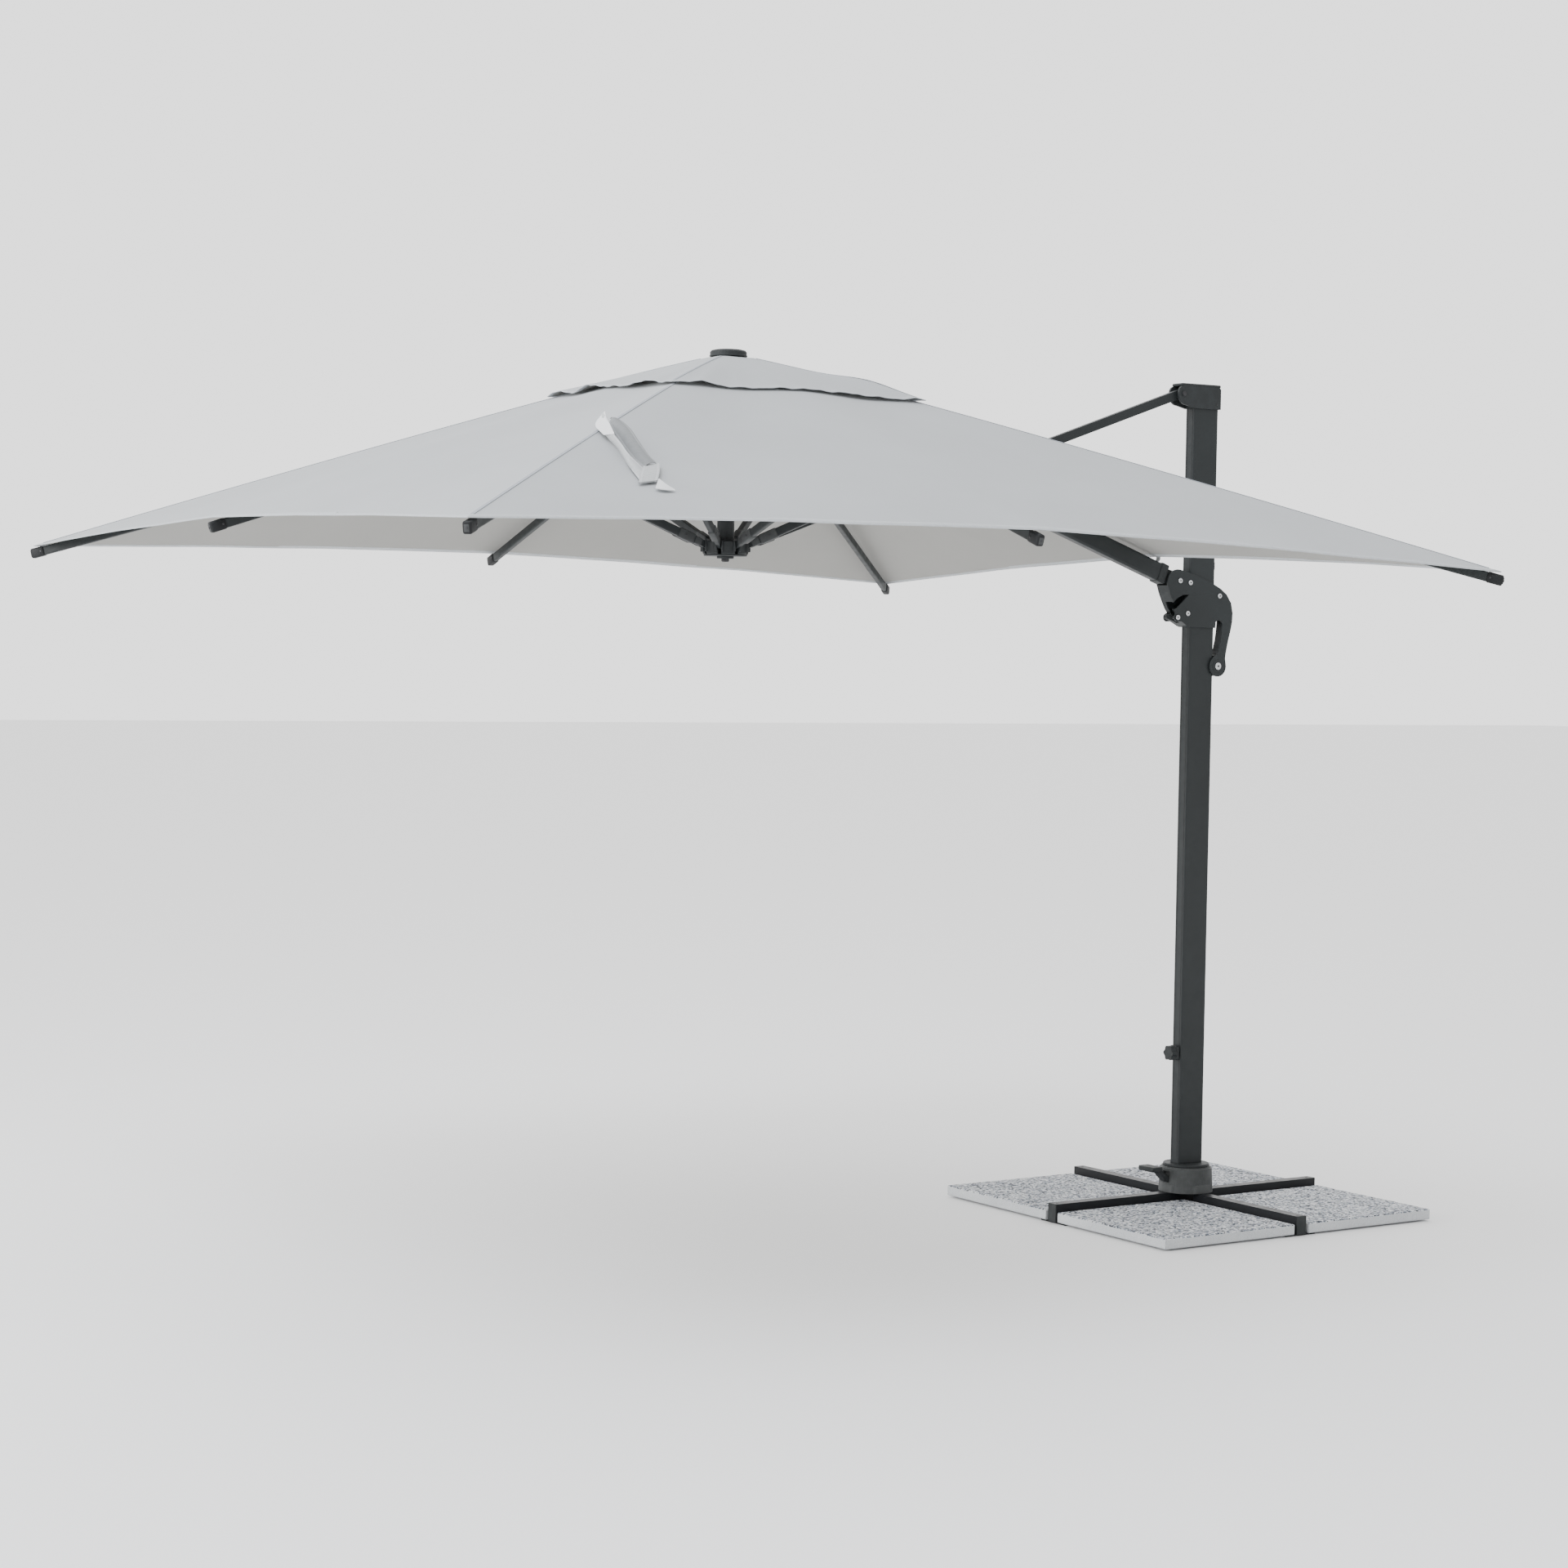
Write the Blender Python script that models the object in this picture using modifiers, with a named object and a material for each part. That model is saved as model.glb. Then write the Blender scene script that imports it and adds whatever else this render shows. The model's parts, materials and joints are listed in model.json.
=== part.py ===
"""Cantilever parasol: slab-weighted cross base, swivelling mast, sliding handle and folding canopy.

The mast stands on the origin and the canopy hangs out towards -X. Metres, +Z up.
The arm, tie rod and slider are a straight-line linkage: the tie rod is half as long as the arm,
so the canopy hub travels level with the mast-top pivot while the handle slides on the mast.
"""
import math

import bmesh
import bpy
from mathutils import Matrix, Vector

GAP = 0.0003                      # running gap between pieces that touch
DRAW_SCALE = 100                  # outlines are filled this much larger, where filling is exact

# Base
BASE_TURN = math.radians(2.7)     # base against the canopy's own square
SLAB = 0.500
SLAB_THICK = 0.032
SLAB_SPACE = 0.053
BAR_LENGTH = 1.040
BAR_WIDTH = 0.037
BAR_TOP = 0.058
BAR_WALL = 0.002
FLANGE_WIDTH = 0.115
FLANGE_THICK = 0.004
HOUSING_BOTTOM = BAR_TOP + GAP
HOUSING_TOP = 0.136
HOUSING_LOW_R = 0.0835
HOUSING_TOP_R = 0.0795
DISC_RADIUS = 0.0705
DISC_THICK = 0.008

# Mast
MAST_DEPTH = 0.092                # along X
MAST_WIDTH = 0.042                # along Y
MAST_WALL = 0.0025
MAST_ROUND = 0.004
MAST_BOTTOM = HOUSING_TOP + GAP + DISC_THICK + GAP
MAST_TOP = 2.505
CAP_TOP = 2.529
CAP_BOTTOM = 2.462
CAP_WALL = 0.0055
KNOB_Z = 0.487
STUB_TOP = 0.560

# Linkage: P on the mast top, S on the slider, E on the canopy hub, M halfway along the arm
PIVOT_X = -0.092
PIVOT_Z = 2.504
SLIDER_Z = 1.936
HUB_X = -1.674
PIN = 0.006                       # radius of the linkage pins
BORE = PIN + GAP

P = Vector((PIVOT_X, 0, PIVOT_Z))
S = Vector((PIVOT_X, 0, SLIDER_Z))
E = Vector((HUB_X, 0, PIVOT_Z))
M = (S + E) / 2
ARM_LENGTH = (E - S).length
ARM_HEIGHT = 0.056
ARM_WIDTH = 0.038
ARM_WALL = 0.0025
ROD_HEIGHT = 0.027
ROD_WIDTH = 0.020
ROD_SLOT = 0.023

# Canopy, measured from the hub's axis
HALF = 1.500                      # canopy corner, along X and along Y
MID_OUT = 1.512                   # canopy edge at a middle rib
APEX_Z = 2.512
CORNER_Z = 1.959                  # edge heights, before the lean
MID_Z = 2.001
MAST_SIDE_Z = 2.027               # edge where the cloth lies on the arm
LEAN = 0.012                      # fall of the canopy's edge towards the mast
CLOTH = 0.002
CROWN = 0.033                     # share of the canopy that lies flat under the finial
BOW = 1.06                        # how little the ridges bow upwards; 1 is straight
OPENING = 0.10                    # share of the canopy left open under the vent flap
FLAP = 0.258                      # share of the canopy that the vent flap covers
HINGE_R = 0.058
RIB_HINGE_Z = 2.470
RUNNER_HINGE_Z = 1.992
RIB_DROP = 0.018                  # rib's centre line below the cloth at its tip
RIB_HEIGHT = 0.026
RIB_WIDTH = 0.016
TUBE_WALL = 0.0015
TUBE_ROUND = 0.0035
STRUT_HEIGHT = 0.024
LUG_DROP = 0.029                  # strut hinge below the rib's centre line
LUG_REACH = 0.660                 # and about this far along it
TONGUE = 0.009
HUB_R = 0.065
ARM_STRUT_AT = 0.7284             # along the arm from the hub, so its strut fits open and closed



# ---------------------------------------------------------------- general helpers

def clear_scene():
    for obj in list(bpy.data.objects):
        bpy.data.objects.remove(obj, do_unlink=True)


def new_collection(name):
    group = bpy.data.collections.new(name)
    bpy.context.scene.collection.children.link(group)
    return group


def finish_material(name, colour, roughness, metallic):
    mat = bpy.data.materials.new(name)
    mat.use_nodes = True
    shader = mat.node_tree.nodes["Principled BSDF"]
    shader.inputs["Base Color"].default_value = (*colour, 1)
    shader.inputs["Roughness"].default_value = roughness
    shader.inputs["Metallic"].default_value = metallic
    return mat


FINISHES = {
    "frame": ((0.052, 0.056, 0.060), 0.50, 0.6),
    "plastic": ((0.045, 0.047, 0.048), 0.55, 0.0),
    "steel": ((0.55, 0.56, 0.57), 0.35, 1.0),
    "stone": ((0.38, 0.40, 0.41), 0.80, 0.0),
    "cloth": ((0.52, 0.54, 0.55), 0.90, 0.0),
}


def dress(obj, finish):
    """Give an object its own copy of a finish."""
    colour, roughness, metallic = FINISHES[finish]
    obj.data.materials.clear()
    obj.data.materials.append(finish_material(obj.name + "_" + finish, colour, roughness, metallic))
    return obj


def link(name, data, group):
    obj = bpy.data.objects.new(name, data)
    group.objects.link(obj)
    return obj


def mesh_from(name, bm, group):
    data = bpy.data.meshes.new(name)
    bmesh.ops.recalc_face_normals(bm, faces=bm.faces)
    bm.to_mesh(data)
    bm.free()
    return link(name, data, group)


def block(name, size, at, group, bevel=0.0):
    """A box, with its edges rounded when bevel is given."""
    bm = bmesh.new()
    bmesh.ops.create_cube(bm, size=1.0)
    bmesh.ops.scale(bm, vec=size, verts=bm.verts)
    if bevel:
        bmesh.ops.bevel(bm, geom=bm.edges, offset=bevel, segments=1, affect="EDGES")
    bmesh.ops.translate(bm, vec=at, verts=bm.verts)
    return mesh_from(name, bm, group)


def rod_shape(name, radius, length, at, axis, group, sides=20, bevel=0.0):
    """A cylinder centred at a point, along an axis."""
    bm = bmesh.new()
    bmesh.ops.create_cone(bm, cap_ends=True, segments=sides, radius1=radius, radius2=radius, depth=length)
    if bevel:
        rims = [e for e in bm.edges if abs(e.verts[0].co.z - e.verts[1].co.z) < 1e-6]
        bmesh.ops.bevel(bm, geom=rims, offset=bevel, segments=1, affect="EDGES")
    turn = Vector((0, 0, 1)).rotation_difference(Vector(axis)).to_matrix().to_4x4()
    bmesh.ops.transform(bm, matrix=Matrix.Translation(Vector(at)) @ turn, verts=bm.verts)
    return mesh_from(name, bm, group)


def arc(centre, radius, start, end, steps):
    """Points on an arc, angles in degrees."""
    points = []
    for step in range(steps + 1):
        angle = math.radians(start + (end - start) * step / steps)
        points.append((centre[0] + radius * math.cos(angle), centre[1] + radius * math.sin(angle)))
    return points


def rounded_rect(width, height, radius, steps=3):
    """Outline of a rectangle with round corners, centred on zero."""
    points = []
    for corner, (sx, sy) in enumerate(((1, 1), (-1, 1), (-1, -1), (1, -1))):
        centre = (sx * (width / 2 - radius), sy * (height / 2 - radius))
        points += arc(centre, radius, 90 * corner, 90 * corner + 90, steps)
    return points


def prism(name, loops, thickness, frame, group):
    """Extrude an outline, and any holes in it, half the thickness each way along the frame's Z."""
    curve = bpy.data.curves.new(name + "_outline", "CURVE")
    curve.dimensions = "2D"
    curve.fill_mode = "BOTH"
    curve.extrude = thickness / 2 * DRAW_SCALE
    for loop in loops:
        spline = curve.splines.new("POLY")
        spline.points.add(len(loop) - 1)
        for point, (u, v) in zip(spline.points, loop):
            point.co = (u * DRAW_SCALE, v * DRAW_SCALE, 0, 1)
        spline.use_cyclic_u = True
    outline = bpy.data.objects.new(name + "_outline", curve)
    bpy.context.scene.collection.objects.link(outline)
    graph = bpy.context.evaluated_depsgraph_get()
    bm = bmesh.new()
    bm.from_mesh(outline.evaluated_get(graph).to_mesh())
    bmesh.ops.remove_doubles(bm, verts=bm.verts, dist=1e-4)
    bmesh.ops.transform(bm, matrix=frame @ Matrix.Scale(1 / DRAW_SCALE, 4), verts=bm.verts)
    bpy.data.objects.remove(outline, do_unlink=True)
    return mesh_from(name, bm, group)


def frame_at(origin, x_axis, y_axis):
    """Placement matrix from an origin and two of its axes."""
    x_axis = Vector(x_axis).normalized()
    y_axis = Vector(y_axis).normalized()
    turn = Matrix((x_axis, y_axis, x_axis.cross(y_axis))).transposed().to_4x4()
    return Matrix.Translation(Vector(origin)) @ turn


def combine(obj, other, operation):
    """Apply one exact boolean; the other object becomes a hidden cutter."""
    modifier = obj.modifiers.new(operation.lower() + "_" + other.name, "BOOLEAN")
    modifier.operation = operation
    modifier.solver = "EXACT"
    modifier.object = other
    other.hide_render = True
    other.display_type = "WIRE"
    return obj


def cut(obj, *cutters):
    for cutter in cutters:
        combine(obj, cutter, "DIFFERENCE")
    return obj


def join(obj, *others):
    for other in others:
        combine(obj, other, "UNION")
    return obj


def tube_along(name, start, end, side, width, height, wall, radius, group):
    """A hollow box tube between two points; side is the direction of its width."""
    start = Vector(start)
    end = Vector(end)
    along = (end - start).normalized()
    side = Vector(side).normalized()
    up = along.cross(side)
    outer = rounded_rect(width, height, radius)
    inner = rounded_rect(width - 2 * wall, height - 2 * wall, max(radius - wall, 0.0008))
    return prism(name, [outer, inner], (end - start).length, frame_at((start + end) / 2, side, up), group)


def set_origin(obj, point):
    """Move an object's origin to its joint's axis without moving its shape."""
    obj.data.transform(Matrix.Translation(-Vector(point)))
    obj.location = point
    return obj


# ---------------------------------------------------------------- base

def make_base(parts, tools):
    turn = Matrix.Rotation(BASE_TURN, 4, "Z")
    made = []
    offset = (SLAB + SLAB_SPACE) / 2
    slab_z = FLANGE_THICK + GAP + SLAB_THICK / 2
    corners = {"front": (-1, -1), "right": (1, -1), "back": (1, 1), "left": (-1, 1)}
    for word, (sx, sy) in corners.items():
        size = (SLAB, SLAB, SLAB_THICK)
        slab = block("slab_" + word, size, (sx * offset, sy * offset, slab_z), parts, bevel=0.003)
        made.append(dress(slab, "stone"))

    half = BAR_LENGTH / 2
    tube_inner = BAR_WIDTH / 2 - BAR_WALL
    flange = FLANGE_WIDTH / 2
    web = BAR_WIDTH / 2
    section = [(-flange, 0), (flange, 0), (flange, FLANGE_THICK), (web, FLANGE_THICK), (web, BAR_TOP),
               (-web, BAR_TOP), (-web, FLANGE_THICK), (-flange, FLANGE_THICK)]
    hollow_low = FLANGE_THICK + BAR_WALL
    hollow_top = BAR_TOP - BAR_WALL
    hollow = [(-tube_inner, hollow_low), (tube_inner, hollow_low),
              (tube_inner, hollow_top), (-tube_inner, hollow_top)]
    short_start = flange + GAP
    bars = (("cross_bar_long", (1, 0, 0), -half, half),
            ("cross_bar_short_back", (0, 1, 0), short_start, half),
            ("cross_bar_short_front", (0, -1, 0), short_start, half))
    for name, along, low, high in bars:
        along = Vector(along)
        side = Vector((0, 0, 1)).cross(along)
        frame = frame_at(along * (low + high) / 2, side, (0, 0, 1))
        made.append(dress(prism(name, [section, hollow], high - low, frame, parts), "frame"))

    cap_z = (FLANGE_THICK + BAR_TOP) / 2
    for word, (dx, dy) in {"out": (-1, 0), "mast": (1, 0), "near": (0, -1), "far": (0, 1)}.items():
        reach = half + GAP + 0.002
        size = (0.004 if dx else BAR_WIDTH, 0.004 if dy else BAR_WIDTH, BAR_TOP - FLANGE_THICK)
        cap = block("bar_cap_" + word, size, (dx * reach, dy * reach, cap_z), parts, bevel=0.001)
        made.append(dress(cap, "plastic"))

    housing = drum("turntable_housing", HOUSING_LOW_R, HOUSING_TOP_R, HOUSING_BOTTOM, HOUSING_TOP, parts)
    ear_cutter = block("pedal_gap", (0.032, 0.0306, 0.034), (-0.086, 0, 0.106), tools)
    cut(housing, ear_cutter)
    made.append(dress(housing, "plastic"))

    for obj in made + [ear_cutter]:
        obj.data.transform(turn)


def drum(name, low_radius, top_radius, low, top, group):
    """Upright drum that tapers upwards, with its top rim rounded."""
    bm = bmesh.new()
    bmesh.ops.create_cone(bm, cap_ends=True, segments=48, radius1=low_radius, radius2=top_radius,
                          depth=top - low)
    rim = [e for e in bm.edges if min(v.co.z for v in e.verts) > 0.01]
    bmesh.ops.bevel(bm, geom=rim, offset=0.005, segments=3, affect="EDGES")
    bmesh.ops.translate(bm, vec=(0, 0, (low + top) / 2), verts=bm.verts)
    return mesh_from(name, bm, group)


def make_pedal(parts, tools):
    """Foot pedal that frees the turntable; it hinges at the housing's edge."""
    turn = Matrix.Rotation(BASE_TURN, 4, "Z")
    outline = [(-0.0760, 0.0905), (-0.0735, 0.1010), (-0.1020, 0.1210), (-0.1140, 0.1400),
               (-0.1280, 0.1400), (-0.1280, 0.1300), (-0.1200, 0.1260), (-0.1090, 0.1110),
               (-0.0860, 0.0905)]
    frame = frame_at((0, 0, 0), (1, 0, 0), (0, 0, 1))
    pedal = prism("foot_pedal", [outline], 0.028, frame, parts)
    plate = block("pedal_plate", (0.040, 0.072, 0.015), (-0.142, 0, 0.1355), tools, bevel=0.003)
    join(pedal, plate)
    dress(pedal, "plastic")
    pedal.data.transform(turn)
    plate.data.transform(turn)
    pivot = turn @ Vector((-0.080, 0, 0.096))
    pedal.data.transform(Matrix.Translation(-pivot))
    pedal.location = pivot


# ---------------------------------------------------------------- mast

def make_mast(parts, tools):
    disc_z = HOUSING_TOP + GAP + DISC_THICK / 2
    disc = rod_shape("swivel_disc", DISC_RADIUS, DISC_THICK, (0, 0, disc_z), (0, 0, 1), parts, 40, 0.0015)
    dress(disc, "plastic")

    clear = MAST_WALL + GAP
    stub = tube_along("base_stub", (0, 0, MAST_BOTTOM), (0, 0, STUB_TOP), (1, 0, 0),
                      MAST_DEPTH - 2 * clear, MAST_WIDTH - 2 * clear, 0.003, 0.005, parts)
    dress(stub, "steel")

    mast = tube_along("mast_tube", (0, 0, MAST_BOTTOM), (0, 0, MAST_TOP), (1, 0, 0),
                      MAST_DEPTH, MAST_WIDTH, MAST_WALL, MAST_ROUND, parts)
    screw_hole = rod_shape("knob_hole", 0.0045, 0.012, (-MAST_DEPTH / 2, 0, KNOB_Z), (1, 0, 0), tools, 12)
    cut(mast, screw_hole)
    dress(mast, "frame")

    front = -MAST_DEPTH / 2
    boss = block("knob_boss", (0.014, 0.034, 0.044), (front - 0.007 - GAP, 0, KNOB_Z), parts, bevel=0.003)
    cut(boss, rod_shape("boss_bore", 0.0045, 0.030, (front - 0.007, 0, KNOB_Z), (1, 0, 0), tools, 12))
    dress(boss, "plastic")

    make_knob(parts, tools, front - 0.014 - 2 * GAP)
    make_mast_cap(parts, tools)


def make_knob(parts, tools, face_x):
    """Six-lobed clamping knob on its screw, turning about X."""
    outline = []
    for step in range(36):
        angle = 2 * math.pi * step / 36
        radius = 0.0215 + 0.0025 * math.cos(6 * angle)
        outline.append((radius * math.cos(angle), radius * math.sin(angle)))
    frame = frame_at((face_x - 0.009, 0, KNOB_Z), (0, 1, 0), (0, 0, 1))
    knob = prism("clamp_knob", [outline], 0.018, frame, parts)
    screw = rod_shape("knob_screw", 0.004, 0.022, (face_x + 0.005, 0, KNOB_Z), (1, 0, 0), tools, 12)
    join(knob, screw)
    dress(knob, "plastic")
    offset = Vector((face_x, 0, KNOB_Z))
    knob.data.transform(Matrix.Translation(-offset))
    screw.data.transform(Matrix.Translation(-offset))
    knob.location = offset
    screw.location = offset


def make_mast_cap(parts, tools):
    """Clevis head: a cap over the mast with two cheeks that hold the tie rod's pivot."""
    back = MAST_DEPTH / 2 + CAP_WALL
    nose = PIVOT_X - 0.018
    low = CAP_BOTTOM + 0.008
    outline = [(back, CAP_BOTTOM), (back, CAP_TOP - 0.006), (back - 0.006, CAP_TOP)]
    outline += arc((nose + 0.020, CAP_TOP - 0.020), 0.020, 90, 180, 4)
    outline += arc((nose + 0.030, low + 0.030), 0.030, 180, 270, 6)
    outline += [(-MAST_DEPTH / 2 - CAP_WALL + 0.004, CAP_BOTTOM)]
    frame = frame_at((0, 0, 0), (1, 0, 0), (0, 0, 1))
    width = MAST_WIDTH + 2 * CAP_WALL
    cap = prism("mast_cap", [outline], width, frame, parts)
    pocket_top = MAST_TOP + GAP
    pocket_size = (MAST_DEPTH + 2 * GAP, MAST_WIDTH + 2 * GAP, pocket_top - CAP_BOTTOM + 0.02)
    pocket = block("cap_pocket", pocket_size, (0, 0, (pocket_top + CAP_BOTTOM - 0.02) / 2), tools)
    slot_end = -MAST_DEPTH / 2 - 0.004
    slot = block("cap_slot", (0.1, MAST_WIDTH - 0.006, 0.12), (slot_end - 0.05, 0, PIVOT_Z), tools)
    bore = rod_shape("cap_bore", BORE, 0.1, P, (0, 1, 0), tools, 20)
    cut(cap, pocket, slot, bore)
    dress(cap, "frame")
    bolt = rod_shape("cap_bolt", PIN, width + 0.006, P, (0, 1, 0), parts, 20, 0.001)
    dress(bolt, "steel")


# ---------------------------------------------------------------- slider with its handle

BOLTS = {"pivot": (PIVOT_X, SLIDER_Z), "guide": (-0.0530, 1.931), "rear": (0.0610, 1.893),
         "front": (-0.0610, 1.837), "lever": (-0.0990, 1.824), "handle": (0.0600, 1.6775)}
CHEEK_INNER = 0.0235
CHEEK_THICK = 0.0045
GRIP_FAR = 0.0040                 # the handle only fills the near part of the slider's width
ROLLER_R = 0.0145


def handle_outer():
    """Back edge of the handle from the end disc up to the bracket's top."""
    return [(0.0880, 1.702), (0.0915, 1.724), (0.0985, 1.757), (0.1070, 1.788), (0.1125, 1.815),
            (0.1135, 1.842), (0.1070, 1.872), (0.0890, 1.898), (0.0640, 1.916)]


def front_edge():
    """Front of the slider from under the arm down to the notch."""
    return [(-0.1385, 1.9210), (-0.1310, 1.8990), (-0.1190, 1.8730)]


def lower_front():
    """Front of the slider from the notch down to the mast."""
    return [(-0.1080, 1.8520), (-0.0985, 1.8390), (-0.0850, 1.8125), (-0.0600, 1.7990), (-0.0500, 1.7955)]


def cheek_top():
    return [(0.0300, 1.932), (-0.0300, 1.954)] + arc((-0.1000, 1.930), 0.0405, 80, 190, 8)


def lever_lobe():
    return arc(BOLTS["lever"], 0.0130, 130, 255, 6)


def near_cheek_outline():
    """Cheek with the handle and with the notch above the release lever."""
    points = arc(BOLTS["handle"], 0.0320, -240, 15, 16)
    points += handle_outer() + cheek_top() + front_edge()
    points += [(-0.1165, 1.8690), (-0.1020, 1.8825), (-0.0790, 1.8935), (-0.0560, 1.8945),
               (-0.1010, 1.8545), (-0.1075, 1.8505)]
    points += lever_lobe() + lower_front()[2:]
    points += [(0.0470, 1.7945), (0.0480, 1.8130)]
    points += arc((0.0620, 1.8060), 0.0125, 115, 10, 4)
    points += [(0.0725, 1.782), (0.0690, 1.757), (0.0610, 1.722), (0.0560, 1.712), (0.0490, 1.7085)]
    return points


def far_cheek_outline():
    points = [(0.0470, 1.7945), (0.0600, 1.7990), (0.0750, 1.812), (0.0850, 1.830), (0.0890, 1.855),
              (0.0860, 1.882), (0.0740, 1.904), (0.0560, 1.919)]
    points += cheek_top() + front_edge() + lower_front()[:2] + lever_lobe() + lower_front()[2:]
    return points


def core_outline():
    """Filling of the handle behind the near cheek, clear of the rear roller and the mast."""
    points = arc(BOLTS["handle"], 0.0305, -112, 15, 8)
    points += [(x - 0.0015, z) for x, z in handle_outer()[:6]]
    points += [(0.1080, 1.862), (0.0800, 1.862), (0.0775, 1.815), (0.0740, 1.782), (0.0705, 1.757),
               (0.0625, 1.724), (0.0570, 1.7135), (0.0482, 1.7100)]
    return points


def wall_outline():
    """Front wall: the slider's front edge and the same edge drawn inwards."""
    outer = front_edge() + lower_front()
    inner = []
    for i, (x, z) in enumerate(outer):
        ahead = Vector(outer[min(i + 1, len(outer) - 1)]) - Vector(outer[max(i - 1, 0)])
        ahead.normalize()
        inner.append((x - 0.0040 * ahead.y, z + 0.0040 * ahead.x))
    return outer + inner[::-1]


def make_slider(parts, tools):
    frame = frame_at((0, 0, 0), (1, 0, 0), (0, 0, 1))
    shift = CHEEK_INNER + CHEEK_THICK / 2
    bores = {}
    for word, (x, z) in BOLTS.items():
        radius = BORE if word == "pivot" else 0.004 + GAP
        bores[word] = rod_shape("bore_" + word, radius, 0.12, (x, 0, z), (0, 1, 0), tools, 16)
    through = [bore for word, bore in bores.items() if word != "handle"]
    near = prism("slider_cheek_near", [near_cheek_outline()], CHEEK_THICK, frame, parts)
    near.data.transform(Matrix.Translation((0, -shift, 0)))
    cut(near, *bores.values())
    far = prism("slider_cheek_far", [far_cheek_outline()], CHEEK_THICK, frame, parts)
    far.data.transform(Matrix.Translation((0, shift, 0)))
    cut(far, *through)
    dress(near, "frame")
    dress(far, "frame")

    inside = CHEEK_INNER - GAP
    core = prism("handle_grip", [core_outline()], inside + GRIP_FAR, frame, parts)
    core.data.transform(Matrix.Translation((0, (GRIP_FAR - inside) / 2, 0)))
    cut(core, bores["handle"])
    dress(core, "plastic")

    wall = prism("front_shroud", [wall_outline()], 2 * inside, frame, parts)
    lever_gap = block("lever_gap", (0.12, 0.017, 0.048), (-0.135, 0, 1.828), tools)
    notch_gap = block("notch_gap", (0.09, 0.040, 0.0215), (-0.135, -0.010, 1.8605), tools)
    cut(wall, lever_gap, notch_gap)
    dress(wall, "plastic")

    for word, (x, z) in BOLTS.items():
        radius = PIN if word == "pivot" else 0.004
        face = CHEEK_INNER + CHEEK_THICK + GAP
        low, high = -face, GRIP_FAR + GAP if word == "handle" else face
        bolt = rod_shape("bolt_" + word, radius, high - low, (x, (low + high) / 2, z), (0, 1, 0), parts, 16)
        head_r = 0.0110 if word == "handle" else 0.0075
        for at in (low - 0.0015, high + 0.0015):
            head = rod_shape("head_" + word, head_r, 0.003, (x, at, z), (0, 1, 0), tools, 20, 0.0008)
            join(bolt, head)
        dress(bolt, "steel")

    for word in ("rear", "front"):
        x, z = BOLTS[word]
        roller = rod_shape("roller_" + word, ROLLER_R, 0.036, (x, 0, z), (0, 1, 0), parts, 24, 0.002)
        core_bore = rod_shape("roller_bore_" + word, 0.00435, 0.05, (x, 0, z), (0, 1, 0), tools, 16)
        cut(roller, core_bore)
        dress(roller, "plastic")
        for item in (roller, core_bore):
            set_origin(item, (x, 0, z))

    make_lever(parts, tools, frame)


def make_lever(parts, tools, frame):
    """Release lever under the notch, sprung about its bolt."""
    x, z = BOLTS["lever"]
    outline = arc((x, z), 0.0105, -110, 110, 8)
    outline += [(x - 0.0200, z + 0.0105), (x - 0.0270, z + 0.0060), (x - 0.0270, z - 0.0010),
                (x - 0.0200, z - 0.0060)]
    lever = prism("release_lever", [outline], 0.014, frame, parts)
    bore = rod_shape("lever_bore", 0.004 + GAP, 0.05, (x, 0, z), (0, 1, 0), tools, 16)
    cut(lever, bore)
    dress(lever, "plastic")
    for item in (lever, bore):
        set_origin(item, (x, 0, z))


# ---------------------------------------------------------------- tie rod and arm

def make_rod(parts):
    along = (P - M).normalized()
    up = Vector((0, 1, 0)).cross(along)
    length = (P - M).length
    outline = arc((0, 0), ROD_HEIGHT / 2, 90, 270, 8) + arc((length, 0), ROD_HEIGHT / 2, -90, 90, 8)
    low_bore = arc((0, 0), BORE, 0, 342, 19)
    high_bore = arc((length, 0), BORE, 0, 342, 19)
    frame = frame_at(M, along, up)
    dress(prism("tie_rod", [outline, low_bore, high_bore], ROD_WIDTH, frame, parts), "frame")


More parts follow.
